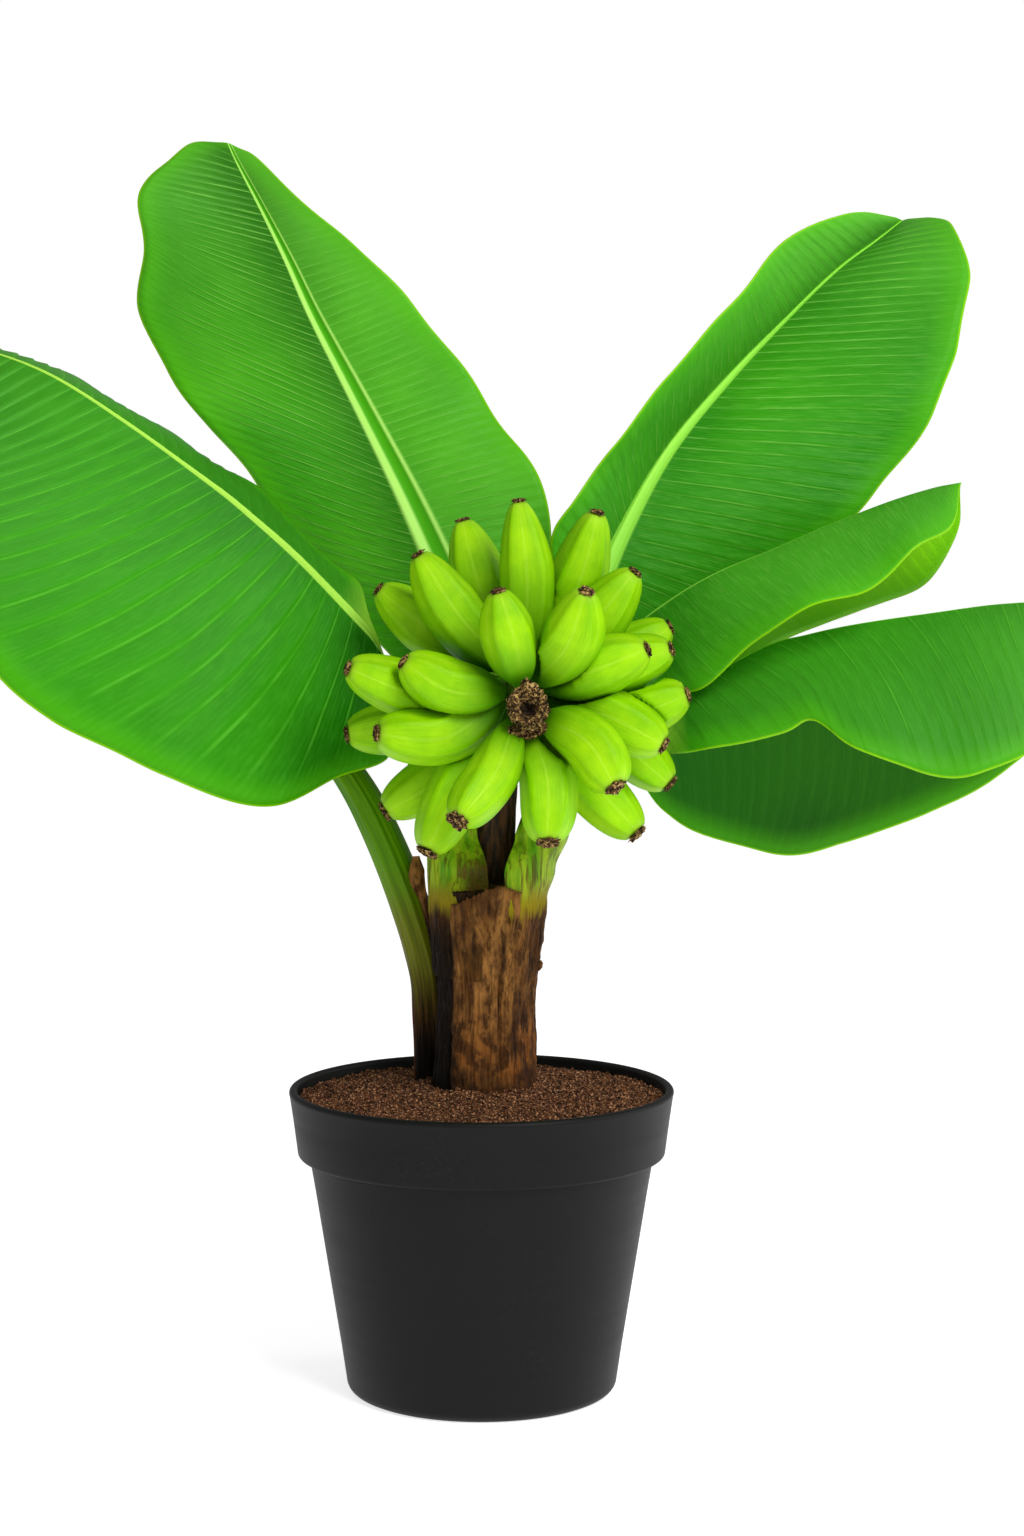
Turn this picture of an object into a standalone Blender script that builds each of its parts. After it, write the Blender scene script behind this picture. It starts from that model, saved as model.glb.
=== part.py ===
"""A banana plant in a round plastic nursery pot.

Metres, +Z up. The origin is the centre of the pot's flat underside, the viewer stands at -Y.
Each leaf, banana, sheath and stalk is one closed body, and so are the pot and its soil.
"""
import math

import bpy
import bmesh
from mathutils import Matrix, Vector

# Driving dimensions.
FIT_GAP = 0.0003            # air between two pieces that touch
POT_HEIGHT = 0.255
POT_RIM_RADIUS = 0.160      # outside, at the lip
POT_FOOT_RADIUS = 0.105     # the flat that the pot stands on
POT_COLLAR_HEIGHT = 0.056
POT_WALL = 0.004
POT_LIP = 0.007             # thickness of the rolled lip
POT_HOLES = 6
SOIL_TOP = 0.252            # the level disc around the trunk
SOIL_EDGE_DROP = 0.006      # the soil is this much lower at the pot's wall
TRUNK_RADIUS = 0.040
TRUNK_TOP = 0.418
TRUNK_BURIED = 0.050
TRUNK_SIDES = 32
SHEATH_THICKNESS = 0.0028
BLADE_THICKNESS = 0.0016
RIB_THICKNESS = 0.010
BANANA_RADIUS = 0.0225

# A leaf is a row of stations from its foot on the trunk to its tip. Each holds the left
# edge, the midrib and the right edge, seen from above with the tip ahead.
LEAVES = {
    "leaf_upper_left": [
        ((-0.022, 0.024, 0.420), (-0.008, 0.030, 0.420), (0.006, 0.026, 0.420)),
        ((-0.014, 0.040, 0.510), (-0.003, 0.044, 0.510), (0.008, 0.041, 0.510)),
        ((-0.064, 0.074, 0.592), (-0.010, 0.056, 0.610), (0.018, 0.062, 0.606)),
        ((-0.124, 0.094, 0.655), (-0.028, 0.066, 0.670), (0.052, 0.076, 0.662)),
        ((-0.182, 0.100, 0.737), (-0.057, 0.080, 0.735), (0.056, 0.080, 0.735)),
        ((-0.250, 0.102, 0.825), (-0.100, 0.110, 0.818), (0.004, 0.106, 0.825)),
        ((-0.295, 0.140, 0.900), (-0.142, 0.140, 0.895), (-0.060, 0.124, 0.910)),
        ((-0.294, 0.162, 0.955), (-0.167, 0.160, 0.947), (-0.106, 0.142, 0.955)),
        ((-0.298, 0.162, 1.005), (-0.192, 0.182, 0.995), (-0.158, 0.166, 1.000)),
        ((-0.262, 0.194, 1.048), (-0.214, 0.202, 1.035), (-0.196, 0.196, 1.038)),
        ((-0.232, 0.214, 1.057), (-0.223, 0.212, 1.053), (-0.215, 0.212, 1.051)),
    ],
    "leaf_upper_right": [
        ((0.014, 0.028, 0.420), (0.027, 0.031, 0.420), (0.038, 0.023, 0.420)),
        ((0.046, 0.040, 0.515), (0.057, 0.041, 0.515), (0.067, 0.036, 0.515)),
        ((0.066, 0.048, 0.612), (0.080, 0.047, 0.612), (0.094, 0.052, 0.606)),
        ((0.058, 0.030, 0.660), (0.092, 0.053, 0.652), (0.155, 0.074, 0.630)),
        ((0.066, 0.006, 0.720), (0.116, 0.065, 0.712), (0.255, 0.080, 0.685)),
        ((0.102, 0.006, 0.776), (0.155, 0.082, 0.780), (0.330, 0.078, 0.745)),
        ((0.160, 0.022, 0.850), (0.210, 0.108, 0.845), (0.386, 0.084, 0.825)),
        ((0.212, 0.050, 0.910), (0.262, 0.134, 0.898), (0.406, 0.098, 0.888)),
        ((0.255, 0.088, 0.960), (0.307, 0.158, 0.940), (0.413, 0.122, 0.945)),
        ((0.310, 0.136, 0.985), (0.344, 0.180, 0.968), (0.402, 0.156, 0.980)),
        ((0.356, 0.188, 0.990), (0.367, 0.194, 0.986), (0.377, 0.190, 0.988)),
    ],
    "leaf_right": [
        ((0.040, 0.018, 0.420), (0.049, 0.008, 0.420), (0.050, -0.003, 0.420)),
        ((0.066, 0.032, 0.505), (0.076, 0.024, 0.505), (0.078, 0.014, 0.500)),
        ((0.096, 0.030, 0.580), (0.103, 0.016, 0.590), (0.106, 0.006, 0.576)),
        ((0.150, 0.056, 0.586), (0.124, 0.010, 0.638), (0.146, -0.002, 0.584)),
        ((0.190, 0.066, 0.588), (0.152, 0.000, 0.662), (0.180, -0.036, 0.588)),
        ((0.240, 0.064, 0.617), (0.190, -0.014, 0.684), (0.218, -0.068, 0.626)),
        ((0.290, 0.056, 0.638), (0.238, -0.022, 0.705), (0.260, -0.088, 0.655)),
        ((0.336, 0.044, 0.655), (0.280, -0.028, 0.725), (0.302, -0.096, 0.670)),
        ((0.372, 0.028, 0.676), (0.322, -0.032, 0.741), (0.342, -0.088, 0.702)),
        ((0.390, -0.002, 0.714), (0.364, -0.034, 0.754), (0.376, -0.068, 0.720)),
        ((0.391, -0.029, 0.752), (0.388, -0.034, 0.759), (0.389, -0.039, 0.753)),
    ],
    "leaf_lower_right": [
        ((0.055, -0.012, 0.420), (0.043, -0.028, 0.420), (0.020, -0.036, 0.420)),
        ((0.087, -0.002, 0.490), (0.081, -0.013, 0.492), (0.068, -0.020, 0.488)),
        ((0.112, 0.012, 0.532), (0.110, 0.000, 0.550), (0.112, -0.008, 0.532)),
        ((0.150, 0.032, 0.482), (0.140, -0.003, 0.564), (0.150, -0.018, 0.534)),
        ((0.204, 0.054, 0.452), (0.182, -0.012, 0.598), (0.186, -0.060, 0.540)),
        ((0.262, 0.068, 0.445), (0.232, -0.026, 0.626), (0.240, -0.090, 0.556)),
        ((0.304, 0.070, 0.449), (0.264, -0.032, 0.635), (0.265, -0.100, 0.567)),
        ((0.345, 0.064, 0.462), (0.300, -0.038, 0.644), (0.298, -0.124, 0.546)),
        ((0.402, 0.044, 0.492), (0.355, -0.044, 0.654), (0.354, -0.142, 0.529)),
        ((0.455, 0.010, 0.534), (0.420, -0.052, 0.662), (0.416, -0.136, 0.536)),
        ((0.500, -0.024, 0.585), (0.478, -0.058, 0.661), (0.480, -0.104, 0.578)),
        ((0.524, -0.056, 0.634), (0.521, -0.060, 0.640), (0.520, -0.066, 0.635)),
    ],
    "leaf_left": [
        ((-0.006, -0.036, 0.420), (-0.031, -0.026, 0.420), (-0.043, 0.000, 0.420)),
        ((-0.030, -0.008, 0.490), (-0.043, 0.000, 0.490), (-0.050, 0.014, 0.490)),
        ((-0.064, 0.006, 0.562), (-0.077, 0.014, 0.604), (-0.078, 0.024, 0.604)),
        ((-0.078, 0.003, 0.526), (-0.088, 0.013, 0.628), (-0.094, 0.040, 0.645)),
        ((-0.118, -0.010, 0.512), (-0.104, 0.008, 0.647), (-0.103, 0.056, 0.670)),
        ((-0.165, -0.042, 0.496), (-0.126, 0.000, 0.671), (-0.118, 0.062, 0.684)),
        ((-0.225, -0.078, 0.512), (-0.150, -0.008, 0.696), (-0.142, 0.066, 0.704)),
        ((-0.285, -0.096, 0.534), (-0.180, -0.014, 0.724), (-0.170, 0.072, 0.728)),
        ((-0.345, -0.110, 0.571), (-0.216, -0.020, 0.755), (-0.202, 0.080, 0.762)),
        ((-0.408, -0.122, 0.644), (-0.280, -0.030, 0.802), (-0.272, 0.090, 0.803)),
        ((-0.452, -0.118, 0.740), (-0.355, -0.034, 0.847), (-0.352, 0.064, 0.846)),
        ((-0.476, -0.088, 0.820), (-0.425, -0.038, 0.869), (-0.425, 0.014, 0.870)),
        ((-0.478, -0.048, 0.860), (-0.474, -0.043, 0.862), (-0.473, -0.038, 0.862)),
    ],
}
LEAF_STEPS = 3              # rows of faces between two stations
HALF_BLADE_STEPS = 3        # columns of faces on each side of the midrib
BLADE_CROWN = 0.03          # how far each half arches up, against its width

# The bunch hangs on a bare stalk: up from the trunk, over, then straight and slightly down
# towards the viewer, to its dried end.
BUNCH_AXIS_START = (0.030, -0.020, 0.602)
BUNCH_AXIS_END = (0.038, -0.142, 0.577)
FRUIT_STALK = [
    (0.008, 0.002, 0.420), (0.012, 0.006, 0.500), (0.020, 0.010, 0.560), (0.027, 0.003, 0.596),
    BUNCH_AXIS_START, BUNCH_AXIS_END,
]
SIDE_SHOOT = [
    (-0.0400, 0.038, 0.2523), (-0.041, 0.037, 0.300), (-0.045, 0.033, 0.350),
    (-0.059, 0.030, 0.400), (-0.078, 0.030, 0.450), (-0.100, 0.034, 0.495),
    (-0.130, 0.042, 0.540), (-0.156, 0.050, 0.580), (-0.172, 0.054, 0.620),
]

# A banana points away from the bunch's axis. Each has the clock angle of its tip (degrees, 0 at
# +X and 90 up), its reach from the axis, the Y of its tip, the Y where it leaves the stalk, and
# how far its middle bows to the left of the way that it points.
BANANAS = [
    # the hand at the stalk's end
    (104, 0.094, -0.145, -0.124, 0.000), (62, 0.100, -0.162, -0.110, -0.008),
    (22, 0.105, -0.120, -0.098, 0.000), (-20, 0.119, -0.110, -0.085, 0.006),
    (-42, 0.094, -0.165, -0.116, 0.010), (-81, 0.112, -0.150, -0.102, 0.008),
    (-121, 0.102, -0.190, -0.112, 0.006), (-166, 0.120, -0.125, -0.090, 0.016),
    (162, 0.101, -0.125, -0.105, 0.010),
    # the middle hand
    (91, 0.149, -0.070, -0.066, -0.006), (128, 0.135, -0.078, -0.066, 0.006),
    (45, 0.129, -0.080, -0.060, -0.006), (14, 0.124, -0.085, -0.062, -0.004),
    (-2, 0.133, -0.085, -0.068, -0.020), (-52, 0.153, -0.085, -0.052, -0.006),
    (-120, 0.151, -0.105, -0.064, -0.004), (173, 0.139, -0.110, -0.065, 0.014),
    # the hand nearest the trunk
    (110, 0.133, -0.022, -0.026, 0.004), (64, 0.146, -0.055, -0.024, -0.010),
    (17, 0.130, -0.028, -0.026, -0.012), (-36, 0.153, -0.045, -0.026, 0.004),
    (-135, 0.155, -0.048, -0.036, 0.014), (-161, 0.148, -0.045, -0.028, 0.012),
    (149, 0.133, -0.033, -0.024, 0.006),
]
BANANA_ROOT = 0.017         # each banana starts this far from the bunch's axis
BANANA_PROFILE = [          # share of the length from the stalk, share of the radius
    (0.00, 0.22), (0.06, 0.34), (0.16, 0.70), (0.32, 0.93), (0.52, 1.00),
    (0.74, 0.94), (0.90, 0.70), (0.97, 0.46), (1.00, 0.34),
]


def clear_scene():
    for item in list(bpy.data.objects):
        bpy.data.objects.remove(item)


def material(name, colour, roughness):
    finish = bpy.data.materials.new(name)
    finish.use_nodes = True
    shader = finish.node_tree.nodes["Principled BSDF"]
    shader.inputs["Base Color"].default_value = (*colour, 1.0)
    shader.inputs["Roughness"].default_value = roughness
    shader.inputs["Metallic"].default_value = 0.0
    return finish


def add_object(name, mesh_build, finish, sharp_angle=40):
    """Turn a bmesh into a named object, shaded smooth except at its sharp edges."""
    mesh = bpy.data.meshes.new(name)
    bmesh.ops.recalc_face_normals(mesh_build, faces=mesh_build.faces)
    mesh_build.to_mesh(mesh)
    mesh_build.free()
    mesh.shade_smooth()
    mesh.set_sharp_from_angle(angle=math.radians(sharp_angle))
    mesh.materials.append(finish)
    item = bpy.data.objects.new(name, mesh)
    bpy.context.collection.objects.link(item)
    return item


def spline(points, steps):
    """A smooth line through the points, with the given number of steps between each two."""
    points = [Vector(point) for point in points]
    padded = [2 * points[0] - points[1], *points, 2 * points[-1] - points[-2]]
    line = []
    for before, start, end, after in zip(padded, padded[1:], padded[2:], padded[3:]):
        for step in range(steps):
            t = step / steps
            line.append(0.5 * (2 * start + (end - before) * t
                               + (2 * before - 5 * start + 4 * end - after) * t ** 2
                               + (3 * start - before - 3 * end + after) * t ** 3))
    return [*line, points[-1]]


def bridge_rings(build, rings):
    """Skin neighbouring rings of vertices and close both ends."""
    for ring, following in zip(rings, rings[1:]):
        for index in range(len(ring)):
            after = (index + 1) % len(ring)
            build.faces.new((ring[index], ring[after], following[after], following[index]))
    build.faces.new(rings[0])
    build.faces.new(rings[-1])


def sweep(line, ring_shape):
    """Carry a ring along a line without twist. ring_shape(share, turn) gives its radius."""
    build = bmesh.new()
    sides = ring_shape.sides
    side = Vector((1, 0, 0))
    rings = []
    for index, centre in enumerate(line):
        ahead = line[min(index + 1, len(line) - 1)] - line[max(index - 1, 0)]
        if index in (0, len(line) - 1):
            ahead = ring_shape.end_direction(index, ahead)
        ahead.normalize()
        side = (side - ahead * side.dot(ahead)).normalized()
        up = ahead.cross(side)
        share = index / (len(line) - 1)
        ring = []
        for corner in range(sides):
            turn = math.tau * corner / sides
            radius = ring_shape.radius(share, turn)
            offset = side * math.cos(turn) + up * math.sin(turn)
            ring.append(build.verts.new(centre + offset * radius))
        rings.append(ring)
    bridge_rings(build, rings)
    return build


class RoundStalk:
    """A round section whose radius runs smoothly through a list of radii, foot to tip."""

    sides = 12

    def __init__(self, radii, upright_foot=True):
        self.radii = radii
        self.upright_foot = upright_foot

    def radius(self, share, turn):
        place = share * (len(self.radii) - 1)
        index = min(int(place), len(self.radii) - 2)
        return self.radii[index] + (self.radii[index + 1] - self.radii[index]) * (place - index)

    def end_direction(self, index, ahead):
        if index == 0 and self.upright_foot:
            return Vector((0, 0, 1))
        return ahead


class BananaSection:
    """A five-sided section with soft ridges, thin at the stalk and blunt at the tip."""

    sides = 10
    flat = 0.93             # the middle of a side, against a ridge

    def radius(self, share, turn):
        for (start, low), (end, high) in zip(BANANA_PROFILE, BANANA_PROFILE[1:]):
            if share <= end:
                size = low + (high - low) * (share - start) / (end - start)
                break
        ridge = 0.5 + 0.5 * math.cos(5 * turn)
        return BANANA_RADIUS * size * (self.flat + (1 - self.flat) * ridge)

    def end_direction(self, index, ahead):
        return ahead


def turned(profile, segments):
    """Spin a closed outline of (radius, height) corners around the Z axis."""
    build = bmesh.new()
    corners = [build.verts.new((radius, 0, height)) for radius, height in profile]
    edges = [build.edges.new(pair) for pair in zip(corners, corners[1:])]
    bmesh.ops.spin(build, geom=corners + edges, axis=(0, 0, 1), cent=(0, 0, 0),
                   angle=math.tau, steps=segments, use_merge=True)
    bmesh.ops.remove_doubles(build, verts=build.verts, dist=0.00001)
    return build


def arc(centre, radius, start, end, steps):
    """Corners of a round stretch of an outline, in degrees."""
    corners = []
    for step in range(steps + 1):
        angle = math.radians(start + (end - start) * step / steps)
        corners.append((centre[0] + radius * math.cos(angle), centre[1] + radius * math.sin(angle)))
    return corners


def pot_outside(height):
    """Radius of the pot's tapered body, outside, under the collar."""
    foot = POT_FOOT_RADIUS + 0.008
    return foot + (height - 0.012) * 0.161


def make_pot():
    collar_foot = POT_HEIGHT - POT_COLLAR_HEIGHT
    lip = POT_LIP / 2
    body_top = pot_outside(collar_foot)
    collar_radius = POT_RIM_RADIUS - 0.007
    profile = [(0, 0), (POT_FOOT_RADIUS, 0)]
    profile += arc((POT_FOOT_RADIUS - 0.002, 0.010), 0.010, -60, -10, 3)
    profile += [(body_top, collar_foot)]
    profile += arc((collar_radius - 0.003, collar_foot + 0.003), 0.003, -90, 0, 2)
    profile += arc((POT_RIM_RADIUS - lip, POT_HEIGHT - lip), lip, 0, 180, 6)
    profile += [
        (POT_RIM_RADIUS - POT_LIP, POT_HEIGHT - 0.012),
        (body_top - POT_WALL + 0.002, collar_foot + 0.004),
        (body_top - POT_WALL, collar_foot),
        (pot_outside(0.012) - POT_WALL - 0.001, 0.012),
        (POT_FOOT_RADIUS - 0.004, POT_WALL),
        (0, POT_WALL),
    ]
    charcoal = material("charcoal_plastic", (0.022, 0.023, 0.024), 0.55)
    pot = add_object("pot", turned(profile, 48), charcoal)
    hole_ring = bmesh.new()
    for index in range(POT_HOLES):
        turn = Matrix.Rotation(math.tau * index / POT_HOLES, 4, "Z")
        place = turn @ Matrix.Translation((0.078, 0, 0.005))
        bmesh.ops.create_cone(hole_ring, cap_ends=True, segments=16, radius1=0.007,
                              radius2=0.007, depth=0.030, matrix=place)
    cutter = add_object("drain_hole_cutter", hole_ring, charcoal)
    cutter.hide_render = True
    cutter.display_type = "WIRE"
    cut = pot.modifiers.new("drain_holes", "BOOLEAN")
    cut.operation = "DIFFERENCE"
    cut.object = cutter


def make_soil():
    wall = FIT_GAP + 0.0004
    collar_foot = POT_HEIGHT - POT_COLLAR_HEIGHT
    body_top = pot_outside(collar_foot)
    socket = TRUNK_RADIUS + FIT_GAP
    floor = POT_WALL + FIT_GAP
    edge_height = SOIL_TOP - SOIL_EDGE_DROP
    rim_radius = POT_RIM_RADIUS - POT_LIP - wall
    profile = [
        (0, floor),
        (POT_FOOT_RADIUS - 0.0055, floor),
        (pot_outside(0.012) - POT_WALL - 0.001 - wall - 0.0005, 0.0125),
        (body_top - POT_WALL - wall, collar_foot),
        (body_top - POT_WALL + 0.002 - wall, collar_foot + 0.0045),
        (rim_radius - 0.0003, POT_HEIGHT - 0.0125),
        (rim_radius - 0.0003, edge_height),
        (0.125, edge_height + 0.0015),
        (0.095, SOIL_TOP - 0.001),
        (0.070, SOIL_TOP),
        (socket, SOIL_TOP),
        (socket, SOIL_TOP - TRUNK_BURIED - FIT_GAP),
        (0, SOIL_TOP - TRUNK_BURIED - FIT_GAP),
    ]
    coir = material("coir_soil", (0.082, 0.040, 0.023), 0.95)
    add_object("soil", turned(profile, 48), coir)


def trunk_place(height, turn, offset=0.0):
    """A point of the trunk's skin: round in the soil, then lobed, wider where the leaves leave."""
    above = max(0.0, height - SOIL_TOP) / (TRUNK_TOP - SOIL_TOP)
    lobes = 0.024 * math.sin(3 * turn + 0.6) + 0.016 * math.sin(5 * turn + 4 * above)
    waist = 0.04 * math.sin(math.pi * min(above * 1.3, 1.0))
    flare = 0.40 * max(0.0, above - 0.45) ** 1.3
    ease = min(above * 6, 1.0)
    radius = TRUNK_RADIUS * (1 + ease * (lobes - waist) + flare) + offset
    lean = 0.004 * above
    return Vector((lean + radius * math.cos(turn), radius * math.sin(turn), height))


def make_trunk():
    buried = SOIL_TOP - TRUNK_BURIED
    heights = [buried, SOIL_TOP]
    heights += [SOIL_TOP + (TRUNK_TOP - FIT_GAP - SOIL_TOP) * step / 8 for step in range(1, 9)]
    build = bmesh.new()
    rings = []
    for height in heights:
        ring = []
        for corner in range(TRUNK_SIDES):
            turn = math.tau * corner / TRUNK_SIDES
            ring.append(build.verts.new(trunk_place(height, turn)))
        rings.append(ring)
    bridge_rings(build, rings)
    add_object("trunk", build, material("trunk_bark", (0.075, 0.042, 0.020), 0.85))


def make_dry_sheath(name, first_side, sides, bottom, top):
    """A dead leaf base that hugs the trunk over some of its sides and ends in a ragged edge."""
    build = bmesh.new()
    rows = 6
    skins = []
    for offset in (FIT_GAP + 0.0005, FIT_GAP + SHEATH_THICKNESS):
        skin = []
        for row in range(rows + 1):
            line = []
            for column in range(sides + 1):
                turn = math.tau * (first_side + column) / TRUNK_SIDES
                ragged = 0.006 * math.sin(2.3 * column + first_side)
                height = bottom + (top + ragged - bottom) * row / rows
                line.append(build.verts.new(trunk_place(height, turn, offset)))
            skin.append(line)
        skins.append(skin)
    inner, outer = skins
    for skin in skins:
        for low, high in zip(skin, skin[1:]):
            for column in range(sides):
                build.faces.new((low[column], low[column + 1], high[column + 1], high[column]))
    rim = [(row, 0) for row in range(rows)] + [(rows, column) for column in range(sides)]
    rim += [(row, sides) for row in range(rows, 0, -1)] + [(0, column) for column in range(sides, 0, -1)]
    for (row, column), (next_row, next_column) in zip(rim, rim[1:] + rim[:1]):
        build.faces.new((inner[row][column], inner[next_row][next_column],
                         outer[next_row][next_column], outer[row][column]))
    add_object(name, build, material(name, (0.135, 0.070, 0.030), 0.8), sharp_angle=60)


def make_leaf(name, stations, finish):
    """One blade with its stalk: a sheet through the stations, thick at the rib, thin at the edge."""
    left, rib, right = (spline(line, LEAF_STEPS) for line in zip(*stations))
    build = bmesh.new()
    weights = []
    rows = []
    for row, (left_point, rib_point, right_point) in enumerate(zip(left, rib, right)):
        ahead = rib[min(row + 1, len(rib) - 1)] - rib[max(row - 1, 0)]
        if row == 0:
            ahead = Vector((0, 0, 1))
        verts = []
        for column in range(-HALF_BLADE_STEPS, HALF_BLADE_STEPS + 1):
            share = abs(column) / HALF_BLADE_STEPS
            edge = left_point if column < 0 else right_point
            across = edge - rib_point
            up = ahead.cross(across) if column < 0 else across.cross(ahead)
            crown = BLADE_CROWN * math.sin(math.pi * share) * across.length
            lift = up.normalized() * crown
            verts.append(build.verts.new(rib_point + across * share + lift))
            stalk = min(1.0, 0.028 / max(across.length, 0.001)) if share > 0 else 1.0
            rib_share = (1 - share) ** 2
            tip_fade = 1 - 0.7 * row / (len(rib) - 1)
            thickness = BLADE_THICKNESS + (RIB_THICKNESS - BLADE_THICKNESS) * tip_fade * max(
                rib_share, 0.75 * max(0.0, 2 * stalk - 1) * (1 - 0.55 * share))
            weights.append(thickness / RIB_THICKNESS)
        rows.append(verts)
    for low, high in zip(rows, rows[1:]):
        for column in range(2 * HALF_BLADE_STEPS):
            build.faces.new((low[column], low[column + 1], high[column + 1], high[column]))
    mesh = bpy.data.meshes.new(name)
    build.to_mesh(mesh)
    build.free()
    mesh.shade_smooth()
    mesh.materials.append(finish)
    leaf = bpy.data.objects.new(name, mesh)
    bpy.context.collection.objects.link(leaf)
    group = leaf.vertex_groups.new(name="thickness")
    for index, weight in enumerate(weights):
        group.add([index], weight, "REPLACE")
    solid = leaf.modifiers.new("solid", "SOLIDIFY")
    solid.thickness = RIB_THICKNESS
    solid.offset = -1.0
    solid.vertex_group = group.name
    solid.use_even_offset = False


def axis_point(y):
    """The point of the bunch's axis at this Y."""
    start, end = Vector(BUNCH_AXIS_START), Vector(BUNCH_AXIS_END)
    return start.lerp(end, (y - start.y) / (end.y - start.y))


def banana_line(angle, reach, tip_y, root_y, bow):
    out = Vector((math.cos(math.radians(angle)), 0, math.sin(math.radians(angle))))
    left = Vector((-out.z, 0, out.x))
    root = axis_point(root_y) + out * BANANA_ROOT
    tip = axis_point(root_y) + out * reach
    tip.y = tip_y
    return spline((root, root.lerp(tip, 0.5) + left * bow, tip), 5)


def lines_touch(line, other):
    nearest = min((point - place).length for point in line for place in other)
    return nearest < 2 * BANANA_RADIUS


def press_flat(banana, neighbour):
    """Flatten a banana where its neighbour in front leans on it, with the fit gap between."""
    press = bpy.data.objects.new(f"{neighbour.name}_press", neighbour.data.copy())
    bpy.context.collection.objects.link(press)
    for vertex in press.data.vertices:
        vertex.co += vertex.normal * FIT_GAP * 1.5
    press.hide_render = True
    press.display_type = "WIRE"
    cut = banana.modifiers.new(press.name, "BOOLEAN")
    cut.operation = "DIFFERENCE"
    cut.object = press


def make_bananas():
    peel = material("green_peel", (0.330, 0.700, 0.030), 0.42)
    made = []
    for number, banana in enumerate(BANANAS, start=1):
        line = banana_line(*banana)
        item = add_object(f"banana_{number:02d}", sweep(line, BananaSection()), peel)
        for neighbour, neighbour_line in made:
            if lines_touch(line, neighbour_line):
                press_flat(item, neighbour)
        made.append((item, line))


def make_stalks():
    bark = material("fruit_stalk", (0.110, 0.075, 0.025), 0.75)
    line = spline(FRUIT_STALK, 3)
    add_object("fruit_stalk", sweep(line, RoundStalk([0.012, 0.011, 0.0115, 0.012, 0.0125])), bark)
    green = material("side_shoot", (0.200, 0.330, 0.030), 0.55)
    line = spline(SIDE_SHOOT, 3)
    radii = [0.0105, 0.0115, 0.0140, 0.0145, 0.0140, 0.0120, 0.0080, 0.0025]
    add_object("side_shoot", sweep(line, RoundStalk(radii)), green)


def main():
    clear_scene()
    make_pot()
    make_soil()
    make_trunk()
    make_dry_sheath("dry_sheath_front", 20, 6, SOIL_TOP + FIT_GAP, 0.408)
    make_dry_sheath("dry_sheath_right", 27, 7, SOIL_TOP + FIT_GAP, 0.385)
    make_dry_sheath("dry_sheath_back", 3, 6, SOIL_TOP + FIT_GAP, 0.370)
    blade = material("green_leaf", (0.045, 0.360, 0.012), 0.45)
    for name, stations in LEAVES.items():
        make_leaf(name, stations, blade)
    make_stalks()
    make_bananas()


main()
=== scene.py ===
import math
import random

import bmesh
import bpy
import numpy as np
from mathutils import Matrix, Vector, noise


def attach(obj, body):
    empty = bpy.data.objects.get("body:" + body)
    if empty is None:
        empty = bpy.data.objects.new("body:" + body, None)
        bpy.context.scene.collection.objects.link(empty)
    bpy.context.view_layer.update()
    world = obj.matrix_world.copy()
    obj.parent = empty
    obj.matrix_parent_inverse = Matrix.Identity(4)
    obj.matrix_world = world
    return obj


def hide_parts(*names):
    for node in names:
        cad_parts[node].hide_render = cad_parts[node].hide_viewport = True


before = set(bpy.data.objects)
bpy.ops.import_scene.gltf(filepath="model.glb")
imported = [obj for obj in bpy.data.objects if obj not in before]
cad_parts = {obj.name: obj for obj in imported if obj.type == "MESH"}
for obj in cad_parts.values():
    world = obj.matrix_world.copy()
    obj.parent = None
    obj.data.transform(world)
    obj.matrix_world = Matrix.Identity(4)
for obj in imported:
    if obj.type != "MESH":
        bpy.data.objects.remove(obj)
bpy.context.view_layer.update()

bpy.ops.object.select_all(action="DESELECT")

# ------------------------------------------------------------------------------ The pot
# A round nursery pot, moulded in charcoal polypropylene: a tapered body, a deeper collar
# to carry it by, a rolled lip, and six drain holes through the flat underside.

POT_HEIGHT = 0.255
POT_RIM_RADIUS = 0.160
POT_FOOT_RADIUS = 0.105
COLLAR_FOOT = 0.199         # the height where the collar starts
POT_WALL = 0.004
POT_LIP = 0.0035            # radius of the rolled lip
DRAIN_HOLES = 6
DRAIN_HOLE_RADIUS = 0.007
DRAIN_HOLE_RING = 0.078     # the holes' distance from the middle


def arc(centre, radius, start, end, steps):
    """Corners of a round stretch of an outline, from one angle to another in degrees."""
    angles = [math.radians(start + (end - start) * step / steps) for step in range(steps + 1)]
    return [(centre[0] + radius * math.cos(angle), centre[1] + radius * math.sin(angle))
            for angle in angles]


def pot_taper(height):
    """Outside radius of the pot's body under the collar."""
    return POT_FOOT_RADIUS + 0.008 + (height - 0.012) * 0.161


def turn_outline(name, outline, segments):
    """Draw a ring through the corners of an outline, (radius, height), and close its ends."""
    radius, height = outline[0]
    bpy.ops.mesh.primitive_circle_add(vertices=segments, radius=radius, location=(0, 0, height))
    piece = bpy.context.object
    bpy.ops.object.transform_apply()
    bpy.ops.object.mode_set(mode="EDIT")
    bpy.ops.mesh.edge_face_add()
    bpy.ops.mesh.select_all(action="SELECT")
    for next_radius, next_height in outline[1:]:
        bpy.ops.mesh.extrude_region_move(
            TRANSFORM_OT_translate={"value": (0, 0, next_height - height)})
        grow = next_radius / radius
        bpy.ops.transform.resize(value=(grow, grow, 1), center_override=(0, 0, next_height))
        radius, height = next_radius, next_height
    bpy.ops.mesh.select_all(action="SELECT")
    bpy.ops.mesh.normals_make_consistent(inside=False)
    bpy.ops.object.mode_set(mode="OBJECT")
    piece.name = piece.data.name = name
    return piece


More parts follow.
